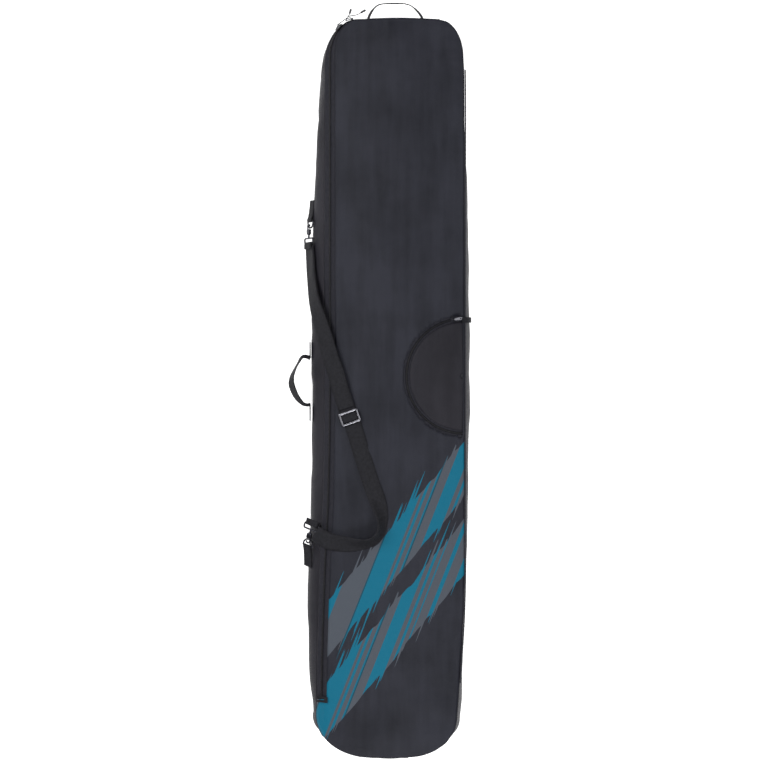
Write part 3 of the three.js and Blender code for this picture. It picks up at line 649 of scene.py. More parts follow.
def tape_rows(side, step=8.0):
    count = int(zip_girth[-1] / step)
    rows = []
    for t in steps(count):
        at = band(zip_place(t * zip_girth[-1]))
        row = []
        for n, share in enumerate((0.0, 0.3, 0.65, 1.0)):
            d = side * mix(TAPE_EDGE, at["half"], share)
            waver = noise.noise(Vector((t * zip_girth[-1] / 31, n, 2.0)))
            sag = -0.5 * math.sin(math.pi * share) + 0.35 * waver
            row.append(at["middle"] + at["across"] * d + at["normal"] * (TAPE + min(sag, 0.1)))
        rows.append(row + [tape_hem(zip_place(t * zip_girth[-1]), side)])
    return rows


def tape_hem(place, side):
    if side > 0:
        point = outline_point(RIM, place) - outward(RIM, place) * 6
        return point + Vector((0, 0, SEAM_HEIGHT - FABRIC - 0.7))
    return wall_point(place, 0.94, WALL + 0.4)


def coil_section(side, swell):
    width, height = COIL * swell, COIL_HEIGHT * swell
    points = []
    for n in range(7):
        angle = 2 * math.pi * n / 7
        points.append((side * (GAP / 2 + width / 2 - math.cos(angle) * width / 2),
                       TAPE + GAP + height / 2 + math.sin(angle) * height / 2))
    return points


def coil_rows(side):
    count = int(zip_girth[-1] / (TURN / 2))
    rows = []
    for n in range(count + 1):
        at = band(zip_place(n / count * zip_girth[-1]))
        swell = 1.0 if n % 2 else WAIST
        section = coil_section(side, swell)
        rows.append([at["middle"] + at["across"] * d + at["normal"] * h for d, h in section])
    return rows


zip_tapes, zip_coils = [], []
for side_name, node_side, side in (("bag", "bag", -1), ("front", "panel", 1)):
    tape = knit(f"zip_tape_{side_name}", tape_rows(side), flip=side > 0)
    thicken(tape, TAPE)
    coil = reshape(knit(f"zip_coil_{side_name}", coil_rows(side), closed=True), close_holes)
    for piece in (tape, coil):
        if side_name == "bag":
            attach(piece, "bag")
        else:
            with_front(piece)
    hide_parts(f"zip_tape_{node_side}_side")
    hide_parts(f"zip_coil_{node_side}_side")
    zip_tapes.append(tape)
    zip_coils.append(coil)
print("zip length:", round(zip_girth[-1]), "mm,", len(zip_coils[0].data.polygons), "coil faces")

# %% [markdown]
# Along the right-hand seam a binding joins the front to the side wall on the inside. The front turns about
# this seam; the binding's outer half lies against the wall and its inner half under the front.

# %% Seam binding
binding_rows = []
for y in (mix(-410, 712, t) for t in steps(140)):
    x = rim_right(y)
    binding_rows.append([Vector((x - 1.6, y, 92)), Vector((x - 1.3, y, 100.6)), Vector((x - 2.2, y, 101.9)),
                         Vector((x - 9, y, crown(x - 9, y) - FABRIC - 0.5))])
seam_binding = thicken(knit("seam_binding", binding_rows), 0.6)
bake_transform(seam_binding)
print("binding:", len(seam_binding.data.polygons), "faces")

# %% [markdown]
# The pocket is let into the front beside the right-hand seam. Its zip is a half ring: two tapes with a coil
# each, round a D-shaped flap. The flap is sewn in along the D's straight side. It is laid in rows round the
# D's middle, like a fan, so its outer edge follows the zip. The rows go from the D's lower end to its upper
# one.

# %% Pocket: fan-shaped rows
ZIP_LINE = (POCKET_OUTER + POCKET_INNER) / 2
TAPE_SINK, COIL_SINK = -1.7, 2.2


def fan_angle(radius, edge, t):
    limit = math.acos(clamp((edge - POCKET_X) / radius, -1, 1)) if radius > POCKET_X - edge else math.pi
    return mix(2 * math.pi - limit, limit, t)


def on_ring(radius, angle):
    return POCKET_X + radius * math.cos(angle), POCKET_Y + radius * math.sin(angle)


def fan_rows(inner, outer, edge, height, count=90, columns=12):
    rows = []
    for t in steps(count):
        row = []
        for s in steps(columns):
            radius = mix(inner, outer, s)
            angle = fan_angle(radius, edge, t)
            x, y = on_ring(radius, angle)
            row.append(Vector((x, y, crown(x, y) + height(x, y, radius, angle))))
        rows.append(row)
    return rows


def flap_wear(x, y, radius, angle):
    seam = clamp((POCKET_INNER - radius) / 12)
    hinge = clamp((FLAP_EDGE - x) / 14)
    lift = ripple(x * 1.3, y * 0.8, size=52, height=2.6) * seam * hinge
    return min(0.5, lift + pucker(POCKET_INNER - radius, angle * 120, reach=16)) + 0.3 * seam


def flat_at(height):
    return lambda x, y, radius, angle: height


def weld(bm):
    bmesh.ops.remove_doubles(bm, verts=bm.verts, dist=1e-5)
    bmesh.ops.recalc_face_normals(bm, faces=bm.faces)


def pocket_sheet(name, body, thickness, rows, node):
    piece = reshape(knit(name, rows, plan_uv=name == "flap_cloth"), weld, face_up)
    thicken(piece, thickness)
    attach(piece, body)
    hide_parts(node)
    return piece


flap_cloth = pocket_sheet("flap_cloth", "flap", FABRIC,
                          fan_rows(6, POCKET_INNER, FLAP_EDGE - GAP, flap_wear, columns=26), "pocket_flap")

tape_width = {"flap": (POCKET_INNER - 4, ZIP_LINE - TAPE_EDGE, FLAP_EDGE - GAP),
              "front": (ZIP_LINE + TAPE_EDGE, POCKET_OUTER + 4, FLAP_EDGE)}
for body, node_side in (("flap", "flap"), ("front", "panel")):
    tape = fan_rows(*tape_width[body], flat_at(TAPE_SINK), columns=3)
    zip_tapes.append(pocket_sheet(f"pocket_tape_{body}", body, TAPE, tape,
                                  f"pocket_tape_{node_side}_side"))


def pocket_coil_rows(side):
    count = int(ZIP_LINE * math.pi / (TURN / 2))
    rows = []
    for n in range(count + 1):
        swell = 1.0 if n % 2 else WAIST
        row = []
        for across, up in coil_section(side, swell):
            radius = ZIP_LINE + across
            x, y = on_ring(radius, fan_angle(radius, FLAP_EDGE - GAP, n / count))
            row.append(Vector((x, y, crown(x, y) + up - COIL_SINK)))
        rows.append(row)
    return rows


for body, node_side, side in (("flap", "flap", -1), ("front", "panel", 1)):
    coil = reshape(knit(f"pocket_coil_{body}", pocket_coil_rows(side), closed=True), close_holes)
    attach(coil, body)
    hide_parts(f"pocket_coil_{node_side}_side")
    zip_coils.append(coil)
print("pocket flap:", len(flap_cloth.data.polygons), "faces")

# %% [markdown]
# The pouch hangs from the D inside the bag. It is a shallow tray of thin lining, with a rounded bottom
# edge.

# %% Pocket pouch
POUCH_FLOOR = 94


def pouch_rows():
    rows = []
    wall_out, edge = POCKET_OUTER + 3.6, FLAP_EDGE - 2.5
    section = ((wall_out, 2.6), (wall_out - 0.5, 8), (wall_out - 5, 16), (wall_out - 30, 99), (70, 99),
               (30, 99), (3, 99))
    for t in steps(60):
        angle = fan_angle(wall_out, edge, t)
        row = []
        for radius, sink in section:
            x, y = on_ring(radius, angle)
            x = min(x, edge)
            slack = 1.2 * noise.noise(Vector((x / 30, y / 30, 8.0)))
            row.append(Vector((x, y, max(crown(x, y) - sink, POUCH_FLOOR + 0.4 + max(slack, 0)))))
        rows.append(row)
    return rows


pouch = pocket_sheet("pocket_pouch_cloth", "front", 0.6, pouch_rows(), "pocket_pouch")
print("pouch:", len(pouch.data.polygons), "faces")

# %% [markdown]
# Round wire, cord and piping are tubes: a circle of vertices carried along a curve, with each ring square
# to it. Flat hardware is a plate: one face, extruded to its thickness, with its edges bevelled so that they
# catch light.

# %% Tubes and plates
def spline(points, count, closed=False):
    pts = [Vector(p) for p in points]
    size = len(pts)
    spans = size if closed else size - 1
    out = []
    for n in range(count + 1):
        u = n / count * spans
        i = min(int(u), spans - 1)
        t = u - i
        if closed:
            a, b, c, d = (pts[(i + k) % size] for k in (-1, 0, 1, 2))
        else:
            b, c = pts[i], pts[i + 1]
            a = pts[i - 1] if i > 0 else b * 2 - c
            d = pts[i + 2] if i + 2 < size else c * 2 - b
        out.append(0.5 * (2 * b + (c - a) * t + (2 * a - 5 * b + 4 * c - d) * t**2
                          + (3 * b - a - 3 * c + d) * t**3))
    return out


def join_seam(bm):
    bmesh.ops.remove_doubles(bm, verts=bm.verts, dist=1e-6)


def tube(name, points, radius, count=48, sides=12, closed=False, place=None):
    path = spline(points, count, closed)
    if closed:
        path = path[:-1]
    rings = []
    side = None
    for n, p in enumerate(path):
        before = path[n - 1] if closed or n else p
        after = path[(n + 1) % len(path)] if closed or n + 1 < len(path) else p
        run = (after - before).normalized()
        if side is None:
            side = run.cross(Vector((0, 0, 1)) if abs(run.z) < 0.9 else Vector((1, 0, 0))).normalized()
        side = (side - run * side.dot(run)).normalized()
        up = side.cross(run)
        swell = radius(n / len(path)) if callable(radius) else radius
        rings.append([p + side * math.cos(a) * swell + up * math.sin(a) * swell
                      for a in (2 * math.pi * k / sides for k in range(sides))])
    if closed:
        rings.append(rings[0])
    piece = reshape(knit(name, rings, closed=True), join_seam, close_holes)
    return piece if place is None else put(piece, place)


def put(piece, place):
    moved = place.copy()
    moved.translation *= MM
    piece.data.transform(moved)
    piece.data.update()
    return piece


SHARP = 0.9  # radians between two faces, from which their edge is bevelled


def ease_edges(bm, edges, width):
    bmesh.ops.bevel(bm, geom=edges, offset=width * MM, offset_type="OFFSET", segments=2, profile=0.5,
                    affect="EDGES", material=-1, clamp_overlap=True)


def plate(name, edge, low, high, bevel=0.4, hole=None, place=None):
    bm = bmesh.new()
    loops = []
    for line in (edge, hole) if hole else (edge,):
        verts = [bm.verts.new(Vector((x, y, low)) * MM) for x, y in line]
        loops.append([bm.edges.new(pair) for pair in zip(verts, verts[1:] + verts[:1])])
    if hole:
        bmesh.ops.bridge_loops(bm, edges=loops[0] + loops[1])
    else:
        bmesh.ops.contextual_create(bm, geom=loops[0])
    up = bmesh.ops.extrude_face_region(bm, geom=bm.faces[:])["geom"]
    bmesh.ops.translate(bm, verts=[g for g in up if isinstance(g, bmesh.types.BMVert)],
                        vec=(0, 0, (high - low) * MM))
    bmesh.ops.recalc_face_normals(bm, faces=bm.faces)
    sharp = [e for e in bm.edges if e.is_manifold and e.calc_face_angle() > SHARP]
    ease_edges(bm, sharp, bevel)
    piece = finish_mesh(name, bm, smooth=False)
    return piece if place is None else put(piece, place)


def round_rectangle(half_x, half_y, radius, count=5):
    line = []
    for cx, cy, turn in ((1, 1, 0), (-1, 1, 1), (-1, -1, 2), (1, -1, 3)):
        for t in steps(count):
            angle = (turn + t) * math.pi / 2
            line.append((cx * (half_x - radius) + radius * math.cos(angle),
                         cy * (half_y - radius) + radius * math.sin(angle)))
    return line


def join_into(name, pieces):
    bm = bmesh.new()
    for piece in pieces:
        bm.from_mesh(piece.data)
        bpy.data.objects.remove(piece)
    mesh = bpy.data.meshes.new(name)
    bm.to_mesh(mesh)
    bm.free()
    whole = bpy.data.objects.new(name, mesh)
    bpy.context.collection.objects.link(whole)
    return whole


def basis(forward, across, out, at):
    place = Matrix((forward, across, out)).transposed().to_4x4()
    place.translation = at
    return place


print("tube and plate helpers ready")

# %% [markdown]
# Each end of the strap hangs from the bag by the same set: a folded tab of webbing sewn to the side wall, a
# D-ring, a snap hook with a spring gate, and a swivelling eye that the strap is looped through. They are
# drawn once, pointing along X from the ring's straight bar, and put in place at both ends.

# %% Rings, hooks and eyes
RING_WIRE = 1.9
FACE_HEIGHT = 4.3


def hardware_place(at, points, faces):
    forward = Vector(points).normalized()
    across = Vector(faces).cross(forward).normalized()
    return basis(forward, across, forward.cross(across).normalized(), Vector(at))


HARDWARE = {
    "upper": hardware_place((-157, 357, 52), (0, -1, 0), (-0.86, 0, 0.5)),
    "lower": hardware_place((-163, -376, 74), (0.25, 0.95, 0.2), (-0.45, 0, 0.89)),
}


def d_ring_points():
    points = [(0, y, 0) for y in (-8, 0, 8)] + [(0.4, 10.8, 0), (1.6, 12, 0)]
    for t in steps(10):
        angle = math.pi / 2 - math.pi * t
        points.append((5 + 11 * math.cos(angle), 12 * math.sin(angle), 0))
    return points + [(1.6, -12, 0), (0.4, -10.8, 0)]


def level(points, height=FACE_HEIGHT):
    return [(x, y, height) for x, y in points]


def snap_hook(name, place):
    wire = tube("wire", level([(21, -4.2), (15, -4.7), (11, -4), (9, -1), (9.7, 2.4), (12.6, 4.4)]),
                lambda t: 1.75 - 0.35 * max(0, t - 0.6), 30, 12)
    barrel = plate("barrel", round_rectangle(6, 6.1, 2.2), 1.2, 7.4, bevel=1.2,
                   place=Matrix.Translation((25.5, 0, 0)))
    collar = tube("collar", level([(31, 0), (31.4, 0), (32.4, 0)]), 3.2, 6, 16)
    return put(join_into(name, [wire, barrel, collar]), place)


def swivel_eye(name, place, half=19):
    stem = tube("stem", level([(31.6, 0), (36, 0), (40, 0)]), 2.2, 6, 14)
    upper = [(40, half - 4), (41.2, half - 1), (44, half), (48, half), (51, half - 1), (52, half - 4)]
    lower = [(x, -y) for x, y in reversed(upper)]
    ring = tube("ring", level([(40, 0), *upper, (52, 0), *lower]), RING_WIRE, 84, 12, closed=True)
    return put(join_into(name, [stem, ring]), place)


def keep(piece, body, node, into):
    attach(piece, body)
    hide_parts(node)
    into.append(piece)
    return piece


GATE_EDGE = [(15.2, 3.2), (19, 3.2), (19, 5.3), (15.2, 5.3)]
metal_pieces = []
for where, place in HARDWARE.items():
    ring = tube(f"ring_{where}", d_ring_points(), RING_WIRE, 90, 12, closed=True, place=place)
    hook = snap_hook(f"hook_{where}", place)
    gate = plate(f"gate_{where}", GATE_EDGE, 3.2, 5.4, bevel=0.5, place=place)
    eye = swivel_eye(f"eye_{where}", place)
    keep(ring, "bag", f"d_ring_{where}", metal_pieces)
    keep(hook, "bag", f"snap_hook_{where}", metal_pieces)
    keep(gate, f"gate_{where}", f"hook_gate_{where}", metal_pieces)
    keep(eye, "bag", f"swivel_eye_{where}", metal_pieces)
print("hardware pieces:", len(metal_pieces))

# %% [markdown]
# A strap is a sheet of webbing that follows a route. Each station of the route has a centre and the way
# that the webbing faces there, and a smooth curve joins the stations. The strap lies on the bag, so no
# thread of it may be below the cloth: where the bag is higher than the strap's own line, the strap is
# lifted onto it.

# %% The bag's outside, under the strap
CLEAR = 0.9  # between the webbing and what it lies on


def surface(x, y):
    inner = rim_left(y)
    if x >= inner:
        return crown(x, y)
    low = inner - BAND_WIDTH
    if x >= low:
        return mix(SEAM_HEIGHT - BAND_DROP, SEAM_HEIGHT, (x - low) / BAND_WIDTH) + TAPE + GAP + COIL_HEIGHT
    round_off = (low - x) / (low - belt_left(y) + 3)
    if round_off >= 1:
        return 0
    return mix(BELT_HEIGHT, SEAM_HEIGHT - BAND_DROP, math.sqrt(1 - round_off**2)) + TAPE


def on_front(x, y, up=1.2):
    return (x, y, crown(x, y) + up)


WEBBING, WEBBING_THICKNESS = 38, 1.4
STRAP = [
    ((-159, 300, 51), (-0.88, 0, 0.47), 34), ((-157, 272, 54), (-0.88, 0, 0.47), 38),
    ((-154.5, 234, 62), (-0.88, 0, 0.5), 38), ((-147.5, 178, 84), (-0.8, 0, 0.6), 38),
    ((-135, 133, 99), (-0.62, 0, 0.78), 38), ((-124, 98, 106), (-0.5, 0, 0.86), 38),
    ((-110.5, 49, 110), (-0.35, 0, 0.94), 38), ((-99, 15, 113), (-0.22, 0, 0.97), 38),
    ((-88, -25, 115.5), (-0.15, 0, 0.99), 38), (on_front(-74.4, -66, 4), (-0.1, 0, 1), 38),
    (on_front(-56, -116, 4), (-0.05, 0, 1), 38), (on_front(-41, -165, 3), (0, 0, 1), 38),
    (on_front(-22.6, -224, 3), (0.1, 0, 1), 38), (on_front(-9, -262), (0.2, 0, 1), 38),
    (on_front(2, -295, 7), (0.6, -0.1, 0.8), 38), (on_front(6, -322, 11), (0.8, -0.25, 0.55), 38),
    (on_front(0, -347, 13), (0.62, -0.62, 0.5), 38), (on_front(-20, -364, 13), (0.2, -0.85, 0.5), 38),
    (on_front(-46, -369, 10), (0, -0.72, 0.7), 38), (on_front(-76, -369, 4), (-0.1, -0.4, 0.9), 38),
    ((-108, -364, 112), (-0.35, -0.1, 0.93), 38), ((-131, -354, 106), (-0.45, 0, 0.88), 38),
    ((-145, -344, 102), (-0.45, 0, 0.88), 34),
]
BUCKLE_AT = 9
RETURN_LIFT = 2.0  # of the doubled-back length above the first one
WEBBING_COLUMNS = 6


def webbing_rows(stations, count, lift=0.0, laid=False, slack=0.0):
    centres = spline([s[0] for s in stations], count)
    faces = spline([s[1] for s in stations], count)
    widths = spline([(s[2], 0, 0) for s in stations], count)
    rows = []
    for n, centre in enumerate(centres):
        run = (centres[min(n + 1, count)] - centres[max(n - 1, 0)]).normalized()
        side = run.cross(faces[n]).normalized()
        face = side.cross(run).normalized()
        half = widths[n].x / 2
        row = []
        for t in steps(WEBBING_COLUMNS):
            across = mix(-half, half, t)
            cup = slack * math.sin(math.pi * t) * noise.noise(Vector((n / count * 9, 0.3, 4.4)))
            p = centre + side * across + face * (lift + cup)
            if laid:
                p.z = max(p.z, surface(p.x, p.y) + CLEAR + lift)
            row.append(p)
        rows.append(row)
    return rows


def flat_band(name, line, half, thickness, place, count, columns=4):
    centre = spline(line, count)
    rows = [[p + Vector((0, mix(-half, half, t), 0)) for t in steps(columns)] for p in centre]
    return put(thicken(knit(name, rows), thickness, offset=0), place)


def row_length(rows):
    middle = len(rows[0]) // 2
    return sum((b[middle] - a[middle]).length for a, b in zip(rows, rows[1:])) * MM


print("strap stations:", len(STRAP))

# %% [markdown]
# From the upper end to the buckle the strap is double, because the webbing turns round the buckle's bar and
# runs back to where it began. Each end is closed round its swivelling eye by a short loop.

# %% Shoulder strap
strap_lengths = []
for name, node, rows in (
        ("shoulder_strap", "strap_main", webbing_rows(STRAP, 260, laid=True, slack=1.0)),
        ("shoulder_strap_return", "strap_return",
         webbing_rows(STRAP[:BUCKLE_AT + 1], 150, lift=RETURN_LIFT, laid=True, slack=0.6))):
    piece = thicken(knit(name, rows), WEBBING_THICKNESS, offset=1)
    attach(piece, "strap")
    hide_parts(node)
    strap_lengths.append((piece, row_length(rows)))
(strap, strap_length), (strap_return, return_length) = strap_lengths

end_loops = []
for where, place in HARDWARE.items():
    fold = [(64, 7.6), (58, 7.6), (53, 7.4), (49.6, 6.4), (48.6, 4.3), (49.6, 2.2), (53, 1.2), (60, 1.2)]
    loop = flat_band(f"strap_loop_{where}", [(x, 0, z) for x, z in fold], 15.5, 1.0, place, count=24)
    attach(loop, "bag")
    end_loops.append(loop)

print("strap:", round(strap_length, 3), "m and", round(return_length, 3), "m")

# %% [markdown]
# The strap's length is set by a three-bar buckle of bright metal: a flat frame with a middle bar, which the
# webbing passes over and under, so that its own tension holds it.

# %% Strap buckle
PAST_STATION, BUCKLE_LIFT = 0.4, 4.6


def buckle_place():
    before, at, after = (Vector(STRAP[n][0]) for n in (BUCKLE_AT - 1, BUCKLE_AT, BUCKLE_AT + 1))
    run = (after - before).normalized()
    across = Vector(STRAP[BUCKLE_AT][1]).cross(run).normalized()
    out = run.cross(across).normalized()
    return basis(run, across, out, at.lerp(after, PAST_STATION) + out * BUCKLE_LIFT)


buckle_frame = plate("frame", round_rectangle(14.5, 22, 4), 0, 3, bevel=0.9,
                     hole=round_rectangle(10.8, 18.4, 2))
buckle_bar = plate("bar", round_rectangle(1.9, 19.4, 0.9), 0.3, 2.4, bevel=0.7)
buckle = put(join_into("buckle", [buckle_frame, buckle_bar]), buckle_place())
over_bar = [(-10.6, -2.6), (-8.5, 0.2), (-4, 2.7), (0, 3.6), (4, 2.7), (8.5, 0.2), (10.6, -2.6)]
bar_cover = flat_band("strap_over_bar", [(x, 0, z) for x, z in over_bar], 17.8, 1.0, buckle_place(), count=24,
                      columns=5)
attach(bar_cover, "buckle")
keep(buckle, "buckle", "strap_buckle", metal_pieces)
print("buckle:", len(buckle.data.polygons), "faces")

# %% [markdown]
# Short lengths of webbing do the small jobs. One folds round each D-ring's bar, one covers the zip's lower
# end, and one runs from the pocket's zip over the seam. Stitched patches hold the ends of the two handles.

# %% Tabs and patches
webbing_pieces = [strap, strap_return, bar_cover, *end_loops]
TAB_BEND = {"upper": 0.0, "lower": -0.25}  # sideways, for each mm away from the ring, to follow the wall
for where, place in HARDWARE.items():
    fold = [(-46, -4.4), (-30, -3.2), (-12, -0.2), (-3, 2.8), (1.5, 2.7), (3.1, 0), (1.5, -2.7), (-3, -3.2),
            (-12, -3.0), (-30, -4.8), (-46, -6.0)]
    fold = [(x, max(0, -x) * TAB_BEND[where], z) for x, z in fold]
    tab = flat_band(f"tab_{where}", fold, 10, 1.0, place, count=70)
    keep(tab, "bag", f"ring_tab_{where}", webbing_pieces)

COVER_Y, COVER_LIFT = -717, 2.4
zip_cover = [(-141, 84.5), (-137, 89.6), (-129, 98.0), (-122, 105.4), (-117, 107.4)]
rows = []
for p in spline([(x, COVER_Y, z) for x, z in zip_cover], 20):
    across = [(p.y + d, foot_height(p.x, p.y + d) + COVER_LIFT) for d in (-6.5, -3, 0, 3, 6.5)]
    rows.append([Vector((p.x, y, max(p.z, least))) for y, least in across])
keep(thicken(knit("zip_end_cover", rows), 1.0, offset=1), "bag", "zip_end_tab", webbing_pieces)

TAB_Y = 131.5
seam_tab = [(183, 107.6), (189, 107.8), (195.5, 106.2), (201, 98), (204.3, 84), (205.4, 66)]
rows = []
for p in spline([(x, TAB_Y, z) for x, z in seam_tab], 24):
    rows.append([p + Vector((0, d, 0)) for d in (-6, -2, 2, 6)])
tab = thicken(knit("pocket_zip_cover", rows), 0.7, offset=0)
keep(tab, "bag", "pocket_zip_tab", webbing_pieces)

for name, size, centre in (("side_patch_upper", (2, 34, 25), (-158, 66, 50)),
                           ("side_patch_lower", (2, 34, 25), (-158, -78, 50)),
                           ("top_patch_left", (34, 2, 25), (-46, 808, 54)),
                           ("top_patch_right", (34, 2, 25), (116, 808, 54))):
    bm = bmesh.new()
    shape = Matrix.Translation(Vector(centre) * MM) @ Matrix.Diagonal((*(v * MM for v in size), 1))
    bmesh.ops.create_cube(bm, size=1, matrix=shape)
    ease_edges(bm, bm.edges[:], 0.6)
    handle, end = name.split("_patch_")
    keep(finish_mesh(name, bm), "bag", f"{handle}_handle_patch_{end}", webbing_pieces)
print("webbing pieces:", len(webbing_pieces))

# %% [markdown]
# The grab handles are webbing too, folded in half along its length where the hand goes. They stand tilted,
# so that some of their width shows from the front.

# %% Grab handles
SIDE_HANDLE = [
    ((-157, 46, 50), (-0.3, 0.5, 0.8), 9), ((-166, 50, 50), (-0.4, 0.5, 0.8), 9),
    ((-176, 49, 50), (-0.6, 0.6, 0.5), 11), ((-184, 37, 50), (-0.8, 0.5, 0.2), 22),
    ((-192, 22, 50), (-0.85, 0.5, 0.2), 25), ((-199, 4, 50), (-0.9, 0.3, 0.38), 25),
    ((-199.5, -14, 50), (-0.85, -0.1, 0.55), 25), ((-190, -38, 50), (-0.7, -0.5, 0.55), 23),
    ((-176, -55, 50), (-0.5, -0.6, 0.7), 12), ((-166, -59, 50), (-0.2, -0.6, 0.8), 8),
    ((-157, -58.5, 50), (-0.2, -0.6, 0.8), 8),
]
TOP_HANDLE = [
    ((-28, 806, 54), (-1, 0.3, 0.6), 9), ((-23, 822, 54), (-0.9, 0.4, 0.4), 13),
    ((-12, 838, 54), (-0.8, 0.6, 0.2), 24), ((3, 846, 54), (-0.2, 1, 0.22), 25),
    ((33, 847.4, 54), (0, 1, 0.25), 25), ((60, 846, 54), (0.2, 1, 0.22), 25),
    ((76, 838, 54), (0.6, 0.8, 0.2), 24), ((91, 822, 54), (0.8, 0.6, 0.4), 13),
    ((98, 806, 54), (0.9, 0.3, 0.6), 9),
]
for name, stations, body, node in (("side_grab_webbing", SIDE_HANDLE, "side_grab", "side_handle"),
                                   ("top_grab_webbing", TOP_HANDLE, "top_grab", "top_handle")):
    piece = thicken(knit(name, webbing_rows(stations, 90, slack=0.8)), 1.9, offset=0)
    keep(piece, body, node, webbing_pieces)
print("webbing pieces with the handles:", len(webbing_pieces))

# %% [markdown]
# A cord covered in cloth, the piping, stiffens the seam on the right.

# %% Piping
piping_line = [(rim_right(y) + 2.6, y, SEAM_HEIGHT + 0.3) for y in (mix(-680, 690, t) for t in steps(28))]
piping = tube("piping", piping_line, lambda t: 1.6 + 0.12 * math.sin(t * 900), 500, 10)
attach(piping, "bag")
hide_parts("right_piping")
print("piping:", len(piping.data.polygons), "faces")

# %% [markdown]
# Two sliders meet near the top left corner. A slider is two shaped plates with the coils between them,
# joined by a post that parts the coils, and a bridge on top for the pull. The pocket's slider is the same.

# %% Sliders
def slider_edge():
    lower = [(-10, -3.6), (-4, -4.3), (6, -5.5), (8.6, -4.9), (10, -3), (10.3, 0)]
    return lower + [(x, -y) for x, y in reversed(lower[:-1])]


SLIDER_PLATE, SLIDER_ROOM = 1.4, 1.4
BRIDGE = ((-6, 1.2), (-6.4, 2.6), (-5, 4.0), (0, 4.6), (4, 4.1), (5.4, 2.6), (5, 1.2))


def slider(name, place):
    above = TAPE + GAP + COIL_HEIGHT + SLIDER_ROOM
    top = plate("top", slider_edge(), above, above + SLIDER_PLATE, bevel=0.5)
    bottom = plate("bottom", slider_edge(), -SLIDER_ROOM - 1.2, -SLIDER_ROOM, bevel=0.3)
    post = plate("post", round_rectangle(2.2, 0.7, 0.5), -SLIDER_ROOM - 0.4, above + 0.4, bevel=0.15,
                 place=Matrix.Translation((6.5, 0, 0)))
    bridge = tube("bridge", [(x, 0, above + z - 0.4) for x, z in BRIDGE], 0.9, 30, 10)
    return put(join_into(name, [top, bottom, post, bridge]), place)


def on_band(place, turned=False):
    at = band(place)
    forward = at["run"] * (-1 if turned else 1)
    return basis(forward, at["normal"].cross(forward), at["normal"], at["middle"])


def pocket_slider_place(angle=math.radians(99)):
    x, y = on_ring(ZIP_LINE, angle)
    run = Vector((y - POCKET_Y, POCKET_X - x, 0)).normalized()
    slope = (crown(x + 4, y) - crown(x - 4, y)) / 8
    out = Vector((-slope, 0, 1)).normalized()
    across = out.cross(run).normalized()
    return basis(across.cross(out), across, out, Vector((x, y, crown(x, y) - 0.8 - TAPE)))


dark_pieces = []
for where, share, turned in (("lower", 0.56, True), ("upper", 0.82, False)):
    made = slider(f"slider_{where}", on_band(MARK["tl"] + CORNER * share, turned))
    keep(made, f"slider_{where}", f"zip_slider_{where}", dark_pieces)
made = slider("slider_pocket", pocket_slider_place())
keep(made, "flap_slider", "pocket_slider", dark_pieces)

pull_edge = [(14 + 3.4 * math.cos(a), 3.4 * math.sin(a)) for a in (math.pi * (t - 0.5) for t in steps(14))]
pull_edge += [(2 + 2.4 * math.cos(a), 2.4 * math.sin(a)) for a in (math.pi * (t + 0.5) for t in steps(10))]
pull_hole = [(14 + 1.6 * math.cos(a), 1.6 * math.sin(a)) for a in (2 * math.pi * n / 24 for n in range(24))]
pull = plate("pocket_pull_tab", pull_edge, 0, 1.2, bevel=0.25, hole=pull_hole)
put(pull, pocket_slider_place() @ Matrix.Translation((-3, 0, 11)))
keep(pull, "flap_pull", "pocket_pull", metal_pieces)
print("sliders:", len(dark_pieces))

# %% [markdown]
# Each main slider is pulled by a thin braided cord, tied to its bridge, with a moulded grip on its end. The
# cord is a tube along a line of a known length.
# The grip is a profile spun round the cord's line.

# %% Pull cords and grips
CORD = 1.9
PULL_ROUTE = {
    "lower": [(-96, 789.8, 101.8), (-90, 794, 105.2), (-82, 799, 107.5), (-74.5, 804.8, 106.4),
              (-70, 811.5, 101.6), (-67.6, 817.6, 95.6), (-65.4, 829, 82)],
    "upper": [(-71.2, 808.9, 98.6), (-66, 811, 100.4), (-59, 812.2, 99.8), (-52.5, 814, 96.8),
              (-46.8, 817.4, 92.4), (-42.4, 820.8, 87.2), (-33.5, 828.4, 75)],
}


def spun(name, profile, forward, at, turns=24):
    bm = bmesh.new()
    verts = [bm.verts.new(Vector((r, 0, h)) * MM) for r, h in profile]
    edges = [bm.edges.new(pair) for pair in zip(verts, verts[1:])]
    bmesh.ops.spin(bm, geom=verts + edges, cent=(0, 0, 0), axis=(0, 0, 1), angle=2 * math.pi, steps=turns,
                   use_merge=True)
    turn = Vector((0, 0, 1)).rotation_difference(forward).to_matrix().to_4x4()
    bm.transform(Matrix.Translation(at * MM) @ turn)
    return finish_mesh(name, bm)


cord_pieces, grip_pieces = [], []
GRIP = [(0, -0.6), (1.5, -0.6), (1.9, 0), (2.4, 2), (2.1, 4), (2.5, 6), (2.1, 8), (2.6, 10), (2.2, 12),
        (2.8, 15), (2.5, 16.4), (1.4, 17), (0, 17)]
for where, route in PULL_ROUTE.items():
    piece = tube(f"pull_cord_{where}_braid", route[:-1], CORD / 2, 30, 14)
    forward = (Vector(route[-1]) - Vector(route[-2])).normalized()
    grip = spun(f"grip_{where}", GRIP, forward, Vector(route[-2]))
    keep(piece, f"pull_{where}", f"pull_cord_{where}", cord_pieces)
    keep(grip, f"pull_{where}", f"pull_grip_{where}", grip_pieces)

# %% [markdown]
# Finishes. A material here is a short chain of nodes: a weave or a grain drives the bump, slow noise varies
# the colour and the roughness, and the rest are plain numbers on the shader. Woven cloth reads its piece's
# own UV map, which is in metres, so its threads have one size everywhere and stay on the cloth when it
# bends. A Finish is one material being built: its nodes, its links and its shader's plain numbers.

